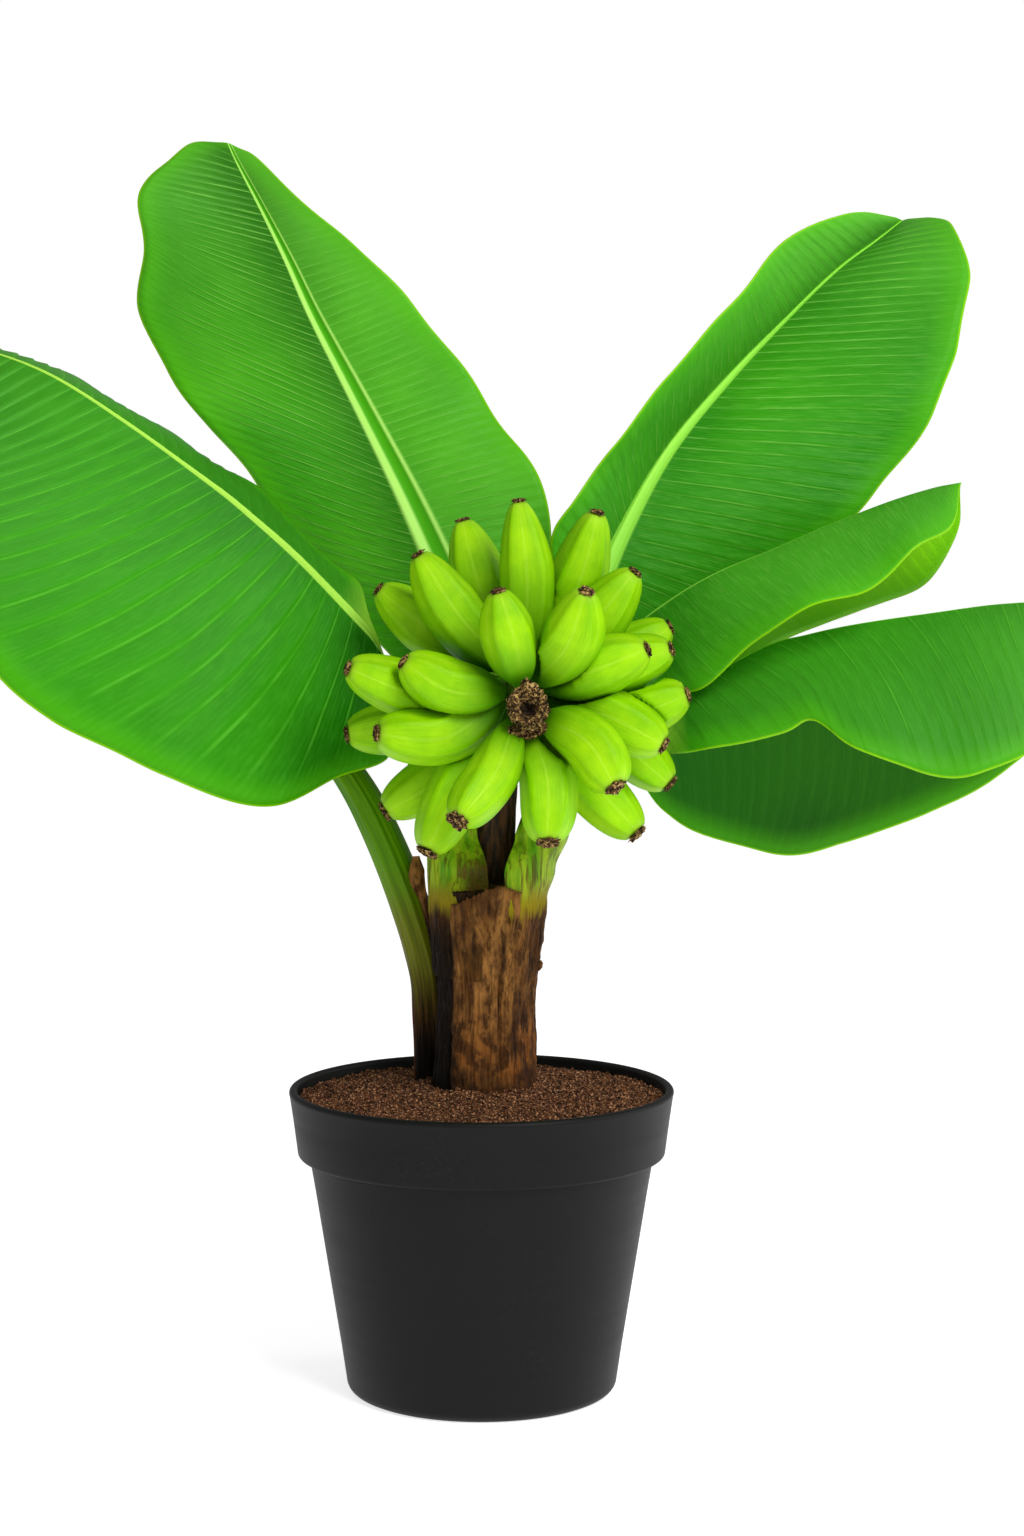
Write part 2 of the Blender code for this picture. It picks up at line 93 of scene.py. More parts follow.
body_top = pot_taper(COLLAR_FOOT)
collar_radius = POT_RIM_RADIUS - 0.007
pot_outline = [
    (POT_FOOT_RADIUS, 0),
    *arc((POT_FOOT_RADIUS - 0.002, 0.010), 0.010, -60, -10, 6),
    (pot_taper(0.040), 0.040), (pot_taper(0.110), 0.110), (pot_taper(0.170), 0.170),
    (body_top - 0.0004, COLLAR_FOOT - 0.004), (body_top + 0.0003, COLLAR_FOOT - 0.0006),
    (body_top + 0.0012, COLLAR_FOOT),
    *arc((collar_radius - 0.003, COLLAR_FOOT + 0.003), 0.003, -90, 0, 6),
    (collar_radius + 0.0035, COLLAR_FOOT + 0.030),
    *arc((POT_RIM_RADIUS - POT_LIP, POT_HEIGHT - POT_LIP), POT_LIP, -30, 180, 16),
    (POT_RIM_RADIUS - 2 * POT_LIP, POT_HEIGHT - 0.012),
    (body_top - POT_WALL + 0.002, COLLAR_FOOT + 0.004),
    (body_top - POT_WALL, COLLAR_FOOT),
    (pot_taper(0.012) - POT_WALL - 0.001, 0.012),
    (POT_FOOT_RADIUS - 0.004, POT_WALL),
    (0.090, POT_WALL),
]
pot = turn_outline("nursery_pot", pot_outline, 128)
pot.data.shade_smooth()

drills = []
for index in range(DRAIN_HOLES):
    turn = math.tau * index / DRAIN_HOLES
    bpy.ops.mesh.primitive_cylinder_add(
        vertices=32, radius=DRAIN_HOLE_RADIUS, depth=0.030,
        location=(DRAIN_HOLE_RING * math.cos(turn), DRAIN_HOLE_RING * math.sin(turn), 0.005))
    drills.append(bpy.context.object)
for drill in drills:
    drill.select_set(True)
bpy.ops.object.join()
drill = bpy.context.object
bpy.ops.object.select_all(action="DESELECT")
bpy.context.view_layer.objects.active = pot
pot.select_set(True)
drain = pot.modifiers.new("drain", "BOOLEAN")
drain.operation = "DIFFERENCE"
drain.object = drill
bpy.ops.object.modifier_apply(modifier="drain")
bpy.data.objects.remove(drill)
bpy.ops.object.shade_smooth_by_angle(angle=math.radians(32))


def paint(red, green, blue):
    """A colour as a paint chart gives it, 0 to 255 each, in the renderer's own values."""
    def linear(value):
        share = value / 255
        return share / 12.92 if share <= 0.04045 else ((share + 0.055) / 1.055) ** 2.4
    return (linear(red), linear(green), linear(blue), 1.0)


class Finish:
    """An output of a material's nodes. Sums and products on it become Math nodes."""

    def __init__(self, tree, socket=None):
        self.tree = tree
        self.socket = socket

    def node(self, kind, settings, inputs, output=0):
        """Add a node: its type, its settings, then the values or links of its sockets."""
        node = self.tree.nodes.new("ShaderNode" + kind)
        for name, value in settings.items():
            setattr(node, name, value)
        for name, value in inputs.items():
            if isinstance(value, Finish):
                self.tree.links.new(value.socket, node.inputs[name])
            else:
                node.inputs[name].default_value = value
        return Finish(self.tree, node.outputs[output])

    def math(self, operation, other=0):
        return self.node("Math", {"operation": operation}, {0: self, 1: other})

    def __add__(self, other):
        return self.math("ADD", other)

    __radd__ = __add__

    def __sub__(self, other):
        return self.math("SUBTRACT", other)

    def __rsub__(self, other):
        return self.node("Math", {"operation": "SUBTRACT"}, {0: other, 1: self})

    def __mul__(self, other):
        return self.math("MULTIPLY", other)

    __rmul__ = __mul__

    def __abs__(self):
        return self.math("ABSOLUTE")

    def fade(self, start, end):
        """0 up to start, 1 from end on, smooth in between. It falls where end is the lower."""
        if start > end:
            return 1 - self.fade(end, start)
        return self.node("MapRange", {"interpolation_type": "SMOOTHSTEP"},
                         {"Value": self, "From Min": start, "From Max": end})

    def colour(self, low, high):
        """The colour low where this is 0, going over to high where it is 1."""
        return self.node("Mix", {"data_type": "RGBA"}, {0: self, 6: low, 7: high}, 2)

    def axes(self):
        """The three parts of a place or of another vector."""
        parts = self.node("SeparateXYZ", {}, {"Vector": self}).socket.node.outputs
        return [Finish(self.tree, part) for part in parts]

    def attribute(self, name):
        """A vector that the mesh keeps at its corners."""
        return self.node("Attribute", {"attribute_name": name}, {}, output=1)

    def speckle(self, scale, detail=2, roughness=0.5):
        """A cloudy pattern around 0.5 over this place, so many times to the metre."""
        return self.node("TexNoise", {}, {"Vector": self, "Scale": scale, "Detail": detail,
                                          "Roughness": roughness})

    def stretched(self, *scale):
        """This place with its axes scaled apart, for a grain that runs one way."""
        return self.node("Mapping", {}, {"Vector": self, "Scale": scale})

    def relief(self, depth, strength=1.0):
        """A normal that shows this as a height, in metres of depth."""
        return self.node("Bump", {}, {"Strength": strength, "Distance": depth, "Height": self})


def new_material(name):
    """A material, and the place on the object."""
    material = bpy.data.materials.new(name)
    material.use_nodes = True
    return material, Finish(material.node_tree).node("TexCoord", {}, {}, output=3)


def dress(material, **sockets):
    """Set or link the shader's sockets, named with _ for a space."""
    tree = material.node_tree
    shader = tree.nodes["Principled BSDF"]
    for name, value in sockets.items():
        socket = shader.inputs[name.replace("_", " ")]
        if isinstance(value, Finish):
            tree.links.new(value.socket, socket)
        else:
            socket.default_value = value
    return material


def part_of(piece, slot, *nodes, skin=None):
    """The piece belongs to the plant, has this skin and stands for these nodes of the frame."""
    if skin:
        piece.data.materials.append(skin)
    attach(piece, "root")
    if nodes:
        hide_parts(*nodes)


charcoal, place = new_material("charcoal_plastic")
height = place.axes()[2]
cloud = place.speckle(9, 3)
grain = place.speckle(1400, 2)
flow = place.stretched(4, 4, 160).speckle(1.0, 2)
dust = cloud.fade(0.50, 0.75) * place.speckle(260, 4, 0.7).fade(0.48, 0.70)
dress(charcoal,
      Base_Color=(dust * 0.30).colour(paint(13, 15, 13), paint(44, 44, 40)),
      Roughness=0.44 + 0.10 * cloud + 0.08 * flow,
      Normal=(grain * 0.7 + flow * 0.3).relief(0.00035, 0.35),
      Specular_IOR_Level=0.15)
part_of(pot, "charcoal_plastic", "pot", skin=charcoal)

# ----------------------------------------------------------------------------- The soil
# Coir compost, filled to just under the lip and pressed down a little at the pot's wall.
# Its body is one piece; loose crumbs and bits of fibre lie on it.

SOIL_TOP = 0.252
SOIL_EDGE_DROP = 0.006
soil_wall = POT_RIM_RADIUS - 2 * POT_LIP - 0.001
soil_edge = SOIL_TOP - SOIL_EDGE_DROP


def ramp(value, start, end):
    """0 up to start, 1 from end on, straight in between. It falls where end is the lower."""
    return min(1.0, max(0.0, (value - start) / (end - start)))


def uneven(x, y, z):
    """Smooth noise around 0, a wave or so to each step of 1."""
    return noise.noise(Vector((x, y, z)))


def soil_height(x, y):
    """The soil's surface: dished to the wall, heaped at the trunk, lumpy all over."""
    radius = math.hypot(x, y)
    dish = SOIL_EDGE_DROP * ramp(radius, 0.060, 0.140) ** 1.5
    heap = 0.005 * math.exp(-((radius - 0.046) / 0.012) ** 2)
    lumps = 0.0022 * noise.noise(Vector((x, y, 0)) * 38) + 0.0012 * noise.noise(Vector((x, y, 5)) * 110)
    return SOIL_TOP - dish + heap + lumps


soil_outline = [
    (POT_FOOT_RADIUS - 0.0055, POT_WALL + 0.0003), (pot_taper(0.012) - 0.0065, 0.0125),
    (body_top - POT_WALL - 0.001, COLLAR_FOOT), (body_top - POT_WALL + 0.001, COLLAR_FOOT + 0.0045),
    (soil_wall, POT_HEIGHT - 0.014), (soil_wall, soil_edge),
]
soil_outline += [(soil_wall - 0.0025 * step, soil_edge) for step in range(1, 50)]
soil = turn_outline("soil", soil_outline, 256)
for vertex in soil.data.vertices:
    if vertex.co.z > soil_edge - 0.0001:
        vertex.co.z = soil_height(vertex.co.x, vertex.co.y)
soil.data.shade_smooth()

rng = random.Random(4)
bpy.ops.mesh.primitive_ico_sphere_add(subdivisions=1, radius=1)
crumb = bpy.context.object
for vertex in crumb.data.vertices:
    vertex.co *= 0.8 + 0.5 * noise.noise(vertex.co * 2.3)
crumb_corners = [vertex.co.copy() for vertex in crumb.data.vertices]
crumb_faces = [tuple(face.vertices) for face in crumb.data.polygons]
CRUMBS = 9000
corners, faces = [], []
for number in range(CRUMBS):
    radius = soil_wall * math.sqrt(rng.uniform(0.055, 0.985))
    turn = rng.uniform(0, math.tau)
    x, y = radius * math.cos(turn), radius * math.sin(turn)
    size = rng.uniform(0.0007, 0.0016) * (1.6 if rng.random() < 0.10 else 1.0)
    long = rng.uniform(1.0, 2.6) if rng.random() < 0.45 else 1.0
    spin = rng.uniform(0, math.tau)
    ahead = Vector((math.cos(spin), math.sin(spin), rng.uniform(-0.5, 0.5))).normalized()
    side = ahead.cross(Vector((0, 0, 1))).normalized()
    up = side.cross(ahead)
    centre = Vector((x, y, soil_height(x, y) + size * rng.uniform(0.0, 0.7)))
    first = len(corners)
    for corner in crumb_corners:
        corners.append(centre + size * (ahead * corner.x * long + side * corner.y + up * corner.z))
    faces += [tuple(first + index for index in face) for face in crumb_faces]
crumb.data.clear_geometry()
crumb.data.from_pydata(corners, [], faces)
crumb.name = crumb.data.name = "soil_crumbs"

coir, place = new_material("coir_soil")
lump = place.speckle(60, 3)
bit = place.speckle(300, 2)
bit_two = place.stretched(1, 1.6, 1).speckle(900, 1)
tone = (bit * 0.7 + bit_two * 0.3).fade(0.34, 0.66)
dark_to_brown = (tone * (0.45 + 0.8 * lump)).colour(paint(22, 11, 5), paint(120, 74, 44))
dress(coir,
      Base_Color=(place.speckle(520, 0).fade(0.60, 0.70) * 0.75).colour(
          dark_to_brown, paint(196, 144, 104)),
      Roughness=0.9,
      Normal=(bit * 0.6 + bit_two * 0.4).relief(0.0012, 0.8),
      Specular_IOR_Level=0.2)
part_of(soil, "coir_soil", "soil", skin=coir)
part_of(crumb, "coir_soil", skin=coir)

# ---------------------------------------------------------------------------- The trunk
# The short false stem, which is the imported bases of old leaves: dead, brown and fissured
# along its height, lobed, flaring where the living leaves leave it. Its foot is in the soil.

TRUNK_RADIUS = 0.040
TRUNK_TOP = 0.418
TRUNK_BURIED = 0.050


def trunk_point(height, turn, offset=0.0):
    """A point of the trunk's skin: round in the soil, then lobed, wider where the leaves leave."""
    above = max(0.0, height - SOIL_TOP) / (TRUNK_TOP - SOIL_TOP)
    lobes = 0.024 * math.sin(3 * turn + 0.6) + 0.016 * math.sin(5 * turn + 4 * above)
    waist = 0.04 * math.sin(math.pi * min(above * 1.3, 1.0))
    flare = 0.22 * max(0.0, above - 0.45) ** 1.3
    ease = min(above * 6, 1.0)
    radius = TRUNK_RADIUS * (1 + ease * (lobes - waist) + flare) + offset
    return Vector((0.004 * above + radius * math.cos(turn), radius * math.sin(turn), height))


def bark_relief(height, turn, fissure=0.0020):
    """How far the bark stands out or in: long fissures, plates between, small cracks."""
    ring = Vector((math.cos(turn), math.sin(turn), 0)) * TRUNK_RADIUS
    drift = 0.006 * uneven(ring.x * 20, ring.y * 20, height * 14)
    side = Vector((ring.x + drift, ring.y - drift, 0))
    wide = noise.noise(side * 120 + Vector((0, 0, height * 11)))
    thin = noise.noise(side * 330 + Vector((3, 1, height * 26)))
    crack = noise.noise(side * 420 + Vector((7, 2, height * 150)))
    ridge = 1 - 2 * abs(thin)
    return fissure * (1.1 * wide + 0.75 * ridge + 0.35 * crack)


def wrap_sheet(name, columns, rows, place_of):
    """A fine sheet whose every corner is put in place by its two shares, across and up."""
    bpy.ops.object.select_all(action="DESELECT")
    bpy.ops.mesh.primitive_grid_add(x_subdivisions=columns, y_subdivisions=rows, size=1)
    sheet = bpy.context.object
    sheet.name = sheet.data.name = name
    for vertex in sheet.data.vertices:
        vertex.co = place_of(vertex.co.x + 0.5, vertex.co.y + 0.5)
    return sheet


def thicken(sheet, thickness, offset=-1.0, weights=None):
    """Give a sheet its thickness, by its corners' shares where they are given. Where the sheet
    has two skins, its back and its edge get the second."""
    bpy.context.view_layer.objects.active = sheet
    solid = sheet.modifiers.new("solid", "SOLIDIFY")
    solid.thickness = thickness
    solid.offset = offset
    solid.use_even_offset = False
    if weights:
        group = sheet.vertex_groups.new(name="thickness")
        for index, weight in enumerate(weights):
            group.add([index], weight, "REPLACE")
        solid.vertex_group = group.name
    solid.material_offset = 1 if len(sheet.data.materials) > 1 else 0
    bpy.ops.object.modifier_apply(modifier=solid.name)
    sheet.data.shade_smooth()


def trunk_skin(across, up):
    """The trunk's own skin. Its last stretch closes over its top in a low dome."""
    turn = math.tau * across
    bottom = SOIL_TOP - TRUNK_BURIED
    side_share = 0.90
    if up <= side_share:
        height = bottom + (TRUNK_TOP + 0.004 - bottom) * up / side_share
        rough = ramp(height, SOIL_TOP - 0.004, SOIL_TOP + 0.006)
        return trunk_point(height, turn, rough * bark_relief(height, turn))
    dome = (up - side_share) / (1 - side_share)
    rim = trunk_point(TRUNK_TOP + 0.004, turn, bark_relief(TRUNK_TOP + 0.004, turn))
    middle = Vector((0.006, 0, TRUNK_TOP + 0.014))
    point = rim.lerp(middle, dome)
    point.z = rim.z + (middle.z - rim.z) * math.sin(dome * math.pi / 2)
    return point


def close_ends(piece, gap=0.00005):
    """Join a wrapped sheet along its seam, close its ends and point its faces outward."""
    build = bmesh.new()
    build.from_mesh(piece.data)
    bmesh.ops.remove_doubles(build, verts=build.verts, dist=gap)
    open_edges = [edge for edge in build.edges if edge.is_boundary]
    if open_edges:
        bmesh.ops.holes_fill(build, edges=open_edges, sides=0)
    bmesh.ops.recalc_face_normals(build, faces=build.faces)
    build.to_mesh(piece.data)
    build.free()
    piece.data.shade_smooth()


trunk = wrap_sheet("trunk", 256, 190, trunk_skin)
close_ends(trunk)


def bark_finish(name, light, middle, dark, streaky=1.0, green_above=None):
    """Dead sheath: streaks along its height, dark in the fissures, rusty low on the trunk.
    Above green_above it is still alive, yellow-green with brown running up into it."""
    material, place = new_material(name)
    x, _, height = place.axes()
    streak = place.stretched(1, 1, 0.07).speckle(210, 4, 0.6)
    fibre = place.stretched(1, 1, 0.06).speckle(800, 3, 0.6)
    grain = place.stretched(1, 1, 0.40).speckle(130, 6, 0.7)
    patch = place.stretched(1, 1, 0.5).speckle(40, 3, 0.6)
    fleck = place.speckle(420, 3, 0.65)
    tone = (streak * (0.50 * streaky) + fibre * 0.15 + grain * (0.85 - 0.50 * streaky)).fade(0.34, 0.66)
    base = tone.colour(dark, middle)
    base = ((patch.fade(0.42, 0.62) * grain.fade(0.35, 0.65)) * 0.8).colour(base, light)
    base = (fleck.fade(0.60, 0.72) * 0.35).colour(base, light)
    rust = height.fade(0.345, 0.275) * patch.fade(0.44, 0.60)
    base = (rust * grain.fade(0.35, 0.6) * 0.6).colour(base, paint(128, 66, 16))
    damp = height.fade(0.280, 0.250)
    base = (damp * 0.7).colour(base, paint(34, 18, 8))
    base = (streak.fade(0.44, 0.34) * (0.9 * streaky)).colour(base, paint(14, 7, 3))
    low_stain = place.speckle(70, 3, 0.6).fade(0.46, 0.60) * height.fade(0.345, 0.300)
    base = (low_stain * 0.7).colour(base, paint(40, 20, 6))
    # Painted shade: the trunk's left side goes near-black below its top, where the side shoot stands
    # close beside it.
    base = (x.fade(-0.016, -0.027) * height.fade(0.415, 0.375) * 0.93).colour(base, paint(12, 7, 3))
    rough = 0.78 + 0.12 * fleck
    if green_above:
        wet = place.stretched(1, 1, 0.08).speckle(130, 3, 0.6)
        ragged = height + 0.034 * (streak - 0.5) + 0.030 * (patch - 0.5)
        alive = wet.fade(0.30, 0.70).colour(paint(84, 148, 0), paint(158, 188, 24))
        dying = streak.fade(0.50, 0.60) * height.fade(0.50, 0.42)
        alive = (dying * 0.85).colour(alive, paint(76, 50, 6))
        alive = ((fibre.fade(0.5, 0.7) + fleck.fade(0.6, 0.7)) * 0.10).colour(alive, paint(70, 70, 6))
        alive = ragged.fade(green_above + 0.030, green_above).colour(alive, paint(136, 120, 10))
        base = ragged.fade(green_above - 0.012, green_above + 0.004).colour(base, alive)
        rot = (height + 0.02 * (patch - 0.5)).fade(0.458, 0.438)
        rot = rot * x.fade(0.022, 0.012) * x.fade(-0.024, -0.006)
        base = (rot * 0.9).colour(base, tone.colour(paint(28, 15, 4), paint(104, 66, 20)))
        rough = rough - 0.35 * height.fade(green_above, green_above + 0.02)
    dress(material, Base_Color=base, Roughness=rough,
          Normal=(streak * 0.45 + fibre * 0.2 + grain * 0.35).relief(0.0026, 0.9),
          Specular_IOR_Level=0.15)
    return material


trunk_bark = bark_finish("trunk_bark", paint(92, 58, 26), paint(58, 34, 14), paint(14, 8, 4))
part_of(trunk, "trunk_bark", "trunk", skin=trunk_bark)

# -------------------------------------------------------------------- The dry sheaths
# Old leaf bases that still hug the trunk: brown papery plates with a ragged top, loose at
# their edges and scored by fibres. The right and the left one are still green above.

SHEATH_THICKNESS = 0.0030


def make_dry_sheath(name, angles, bottom, tops, slack, path=None):
    """A sheath over an angle of the trunk, its ragged top sloping from left to right. A path
    gives, for some heights, how far its middle has left the trunk's and its own radius."""
    def place_of(across, up):
        rag = 0.0034 * uneven(across * 4.5, angles[0], 1)
        rag += 0.0022 * uneven(across * 30, angles[0], 4)
        top = tops[0] + (tops[1] - tops[0]) * across + rag
        top -= 0.014 * ramp(across, 0.72, 1.0) * (path is None)
        height = bottom + (top - bottom) * up
        start_angle, end_angle = angles
        if path:
            index = max(i for i, stop in enumerate(path[:-1]) if stop[0] <= height or i == 0)
            low, high = path[index], path[index + 1]
            t = ramp(height, low[0], high[0])
            t = t * t * (3 - 2 * t)
            shift_x, shift_y, radius, start_angle, end_angle = (
                a + (b - a) * t for a, b in zip(low[1:], high[1:]))
        turn = math.radians(start_angle + (end_angle - start_angle) * across)
        wander = math.radians(2.5) * uneven(angles[0], up * 5, 2)
        turn += wander * (1 if across > 0.5 else -1) * abs(2 * across - 1)
        edge = abs(2 * across - 1)
        loose = slack * ramp(edge, 0.72, 1.0) ** 2 + 0.0018 * ramp(up, 0.8, 1.0)
        score = 0.0
        if name == "dry_sheath_front":      # scored aslant near its top, split down its right
            line = (across - 0.30) * 0.075 + (height - 0.405) * 0.62
            in_patch = ramp(abs(height - 0.392), 0.022, 0) * ramp(abs(across - 0.55), 0.36, 0)
            score = -0.0022 * in_patch * max(0.0, math.sin(line * 800))
            crack = abs(across - 0.78 - 0.05 * uneven(0, up * 4, 3))
            score -= 0.0048 * ramp(crack, 0.040, 0) * ramp(abs(up - 0.42), 0.42, 0)
        if path and height > path[0][0]:
            living = min(1.0, (height - path[0][0]) / 0.04)
            relief = bark_relief(height, turn, 0.0022 * (1 - living) + 0.0003)
            skin = Vector((0.004 + shift_x + (radius + relief) * math.cos(turn),
                           shift_y + (radius + relief) * math.sin(turn), height))
            bark = trunk_point(height, turn, SHEATH_THICKNESS + relief)
            return bark.lerp(skin, min(1.0, living * 1.6))
        return trunk_point(height, turn, SHEATH_THICKNESS + loose + score
                           + bark_relief(height, turn, 0.0014 + 0.0008 * across))
    sheath = wrap_sheet(name, 120, 170, place_of)
    thicken(sheath, SHEATH_THICKNESS)
    return sheath


dry_sheath = bark_finish("dry_sheath", paint(158, 110, 54), paint(108, 68, 28), paint(50, 28, 10), 0.45)
living_sheath = bark_finish("living_sheath", paint(138, 92, 42), paint(86, 52, 20),
                            paint(32, 18, 7), green_above=0.408)
# The two sheaths that are still green above: height, shift of the middle to the right and to
# the back, radius, first and last angle.
RIGHT_PATH = [(0.375, 0.000, 0.000, 0.0450, 300, 392), (0.412, 0.004, 0.000, 0.0460, 288, 394),
              (0.436, 0.015, 0.001, 0.0420, 270, 396), (0.468, 0.034, 0.004, 0.0345, 254, 400),
              (0.492, 0.047, 0.006, 0.0290, 250, 400)]
LEFT_PATH = [(0.372, 0.000, 0.000, 0.0440, 178, 268), (0.412, -0.003, 0.001, 0.0450, 176, 274),
             (0.438, -0.012, 0.004, 0.0370, 172, 292), (0.468, -0.022, 0.008, 0.0280, 170, 302),
             (0.490, -0.028, 0.012, 0.0230, 168, 306)]
for name, angles, bottom, tops, slack, path, bark, nodes in [
    ("dry_sheath_front", (236, 303), SOIL_TOP - 0.002, (0.412, 0.436), 0.0016, None, dry_sheath,
     ["dry_sheath_front"]),
    ("dry_sheath_right", (300, 392), SOIL_TOP - 0.002, (0.486, 0.486), 0.0008, RIGHT_PATH,
     living_sheath, ["dry_sheath_right"]),
    ("dry_sheath_back", (36, 112), SOIL_TOP - 0.002, (0.388, 0.378), 0.0020, None, dry_sheath,
     ["dry_sheath_back"]),
    ("left_sheath", (178, 268), 0.350, (0.484, 0.484), 0.0008, LEFT_PATH, living_sheath, []),
]:
    sheath = make_dry_sheath(name, angles, bottom, tops, slack, path)
    part_of(sheath, "dry_sheath", *nodes, skin=bark)


def small_knot(name, centre, radius, sides, pitch, lean):
    """A small dead knot on the skin, slanting up by lean as it stands out."""
    bpy.ops.mesh.primitive_uv_sphere_add(segments=sides, ring_count=sides - 8, radius=radius,
                                         location=centre)
    knot = bpy.context.object
    bpy.ops.object.transform_apply()
    for vertex in knot.data.vertices:
        vertex.co += vertex.normal * 0.0014 * noise.noise(vertex.co * pitch)
        vertex.co.z += lean * (vertex.co.x - centre[0])
    knot.name = knot.data.name = name
    knot.data.shade_smooth()
    part_of(knot, "dry_sheath", skin=dry_sheath)


# A stub of an old leaf stands out on the right of the trunk.
small_knot("leaf_stub", (0.0468, -0.006, 0.357), 0.0042, 24, 420, 0.35)

# ----------------------------------------------------------------------- The side shoot
# A sucker from the same root: a round stem that leans out to the left, green above, dark
# and drying at its foot, with its youngest leaf still rolled up at the top.

SIDE_SHOOT = [
    (-0.0400, 0.038, 0.2450), (-0.041, 0.037, 0.300), (-0.045, 0.033, 0.350),
    (-0.059, 0.030, 0.400), (-0.078, 0.030, 0.450), (-0.100, 0.034, 0.495),
    (-0.130, 0.042, 0.540), (-0.156, 0.050, 0.580), (-0.172, 0.054, 0.620),
]
SHOOT_RADII = [0.0160, 0.0160, 0.0164, 0.0160, 0.0150, 0.0126, 0.0084, 0.0026]


def smooth_line(points, steps):
    """A smooth line through the points, with so many steps between each two."""
    points = [Vector(point) for point in points]
    padded = [2 * points[0] - points[1], *points, 2 * points[-1] - points[-2]]
    line = []
    for before, start, end, after in zip(padded, padded[1:], padded[2:], padded[3:]):
        for step in range(steps):
            t = step / steps
            line.append(0.5 * (2 * start + (end - before) * t
                               + (2 * before - 5 * start + 4 * end - after) * t ** 2
                               + (3 * start - before - 3 * end + after) * t ** 3))
    return [*line, points[-1]]


def along(values, share):
    """The value at a share of a list, straight between its entries."""
    place = share * (len(values) - 1)
    index = min(int(place), len(values) - 2)
    return values[index] + (values[index + 1] - values[index]) * (place - index)


def frames(line):
    """For each point of a line, its direction and two directions across it, without twist."""
    side = Vector((1, 0, 0))
    result = []
    for index, centre in enumerate(line):
        ahead = (line[min(index + 1, len(line) - 1)] - line[max(index - 1, 0)]).normalized()
        side = (side - ahead * side.dot(ahead)).normalized()
        result.append((centre, ahead, side, ahead.cross(side)))
    return result


def make_stem(name, line, sides, radius_of):
    """A round stem along a line, closed at both ends. radius_of takes the share and the turn."""
    rings = frames(line)
    last = len(rings) - 1

    def place_of(across, up):
        centre, ahead, side, above = rings[round(up * last)]
        turn = math.tau * across + math.pi / 2
        out = side * math.cos(turn) + above * math.sin(turn)
        return centre + out * radius_of(up, turn, centre)
    stem = wrap_sheet(name, sides, last, place_of)
    uv = stem.data.uv_layers.active.data
    length = sum((b - a).length for a, b in zip(line, line[1:]))
    for corner in uv:
        corner.uv = (corner.uv[0], corner.uv[1] * length)
    close_ends(stem)
    return stem


def shoot_radius(share, turn, centre):
    """Radius of the side shoot: furrowed, with a keel on one side, rough where it is dry."""
    furrow = 0.00035 * math.sin(9 * turn + 3 * share) + 0.00025 * math.sin(17 * turn)
    keel = 0.0012 * max(0.0, math.cos(turn - 2.7)) ** 6
    dry = ramp(centre.z, 0.40, 0.32)
    rough = dry * 0.0011 * uneven(math.cos(turn) * 2.6, math.sin(turn) * 2.6, centre.z * 30)
    fade = min(1.0, (1 - share) * 8)
    return along(SHOOT_RADII, share) + (furrow + keel + rough) * fade


shoot = make_stem("side_shoot", smooth_line(SIDE_SHOOT, 26), 96, shoot_radius)

shoot_skin, place = new_material("shoot_skin")
height = place.axes()[2]
run = place.node("TexCoord", {}, {}, output=2)
streak = run.stretched(34, 9, 1).speckle(1.0, 4, 0.6)
fibre = run.stretched(120, 22, 1).speckle(1.0, 3, 0.6)
blotch = place.speckle(55, 3, 0.6)
ragged = height + 0.05 * (streak - 0.5) + 0.02 * (blotch - 0.5)
green = streak.fade(0.30, 0.70).colour(paint(64, 118, 0), paint(98, 148, 4))
olive = streak.fade(0.30, 0.70).colour(paint(78, 90, 2), paint(122, 124, 10))
brown = fibre.fade(0.38, 0.62).colour(paint(22, 12, 5), paint(88, 60, 22))
skin = ragged.fade(0.45, 0.37).colour(green, olive)
skin = ragged.fade(0.375, 0.305).colour(skin, brown)
skin = ragged.fade(0.320, 0.280).colour(skin, paint(16, 10, 6))
left_edge = abs(run.axes()[0] - 0.25)
skin = (left_edge.fade(0.045, 0.0) * streak.fade(0.40, 0.55) * 0.9).colour(skin, paint(92, 44, 8))
skin = ((streak.fade(0.62, 0.72) * height.fade(0.50, 0.36)) * 0.6).colour(skin, paint(84, 52, 20))
dress(shoot_skin, Base_Color=skin,
      Roughness=0.42 + 0.4 * ragged.fade(0.38, 0.30),
      Normal=(streak * 0.5 + fibre * 0.5).relief(0.0009, 0.5),
      Specular_IOR_Level=0.10)
part_of(shoot, "shoot_skin", "side_shoot", skin=shoot_skin)

# A strip of dead sheath curls off the shoot's right side, and a bud scar stands on its left.
husk_line = smooth_line([(-0.0545, 0.015, 0.446), (-0.0535, 0.014, 0.430), (-0.0478, 0.013, 0.405),
                         (-0.0400, 0.015, 0.365), (-0.0340, 0.018, 0.320), (-0.0320, 0.022, 0.256)],
                        18)
husk_rings = frames(husk_line)


def husk_point(across, up):
    """A point of the husk, a narrow strip that curls around its own line."""
    centre, ahead, side, above = husk_rings[round(up * (len(husk_rings) - 1))]
    width = 0.0018 + 0.0056 * math.exp(-((up - 0.20) / 0.16) ** 2)
    curl = 2.1 * (across - 0.5) + 0.5 * uneven(up * 6, 3, 1)
    wave = 0.0012 * uneven(across * 3, up * 14, 8)
    out = side * math.sin(curl) * width + above * (math.cos(curl) * width * 0.6 + wave)
    return centre + out


husk = wrap_sheet("shoot_husk", 24, len(husk_rings) - 1, husk_point)
thicken(husk, 0.0011, 0.0)
part_of(husk, "dry_sheath", skin=dry_sheath)
small_knot("bud_scar", (-0.0640, 0.027, 0.379), 0.0040, 20, 380, 0.8)

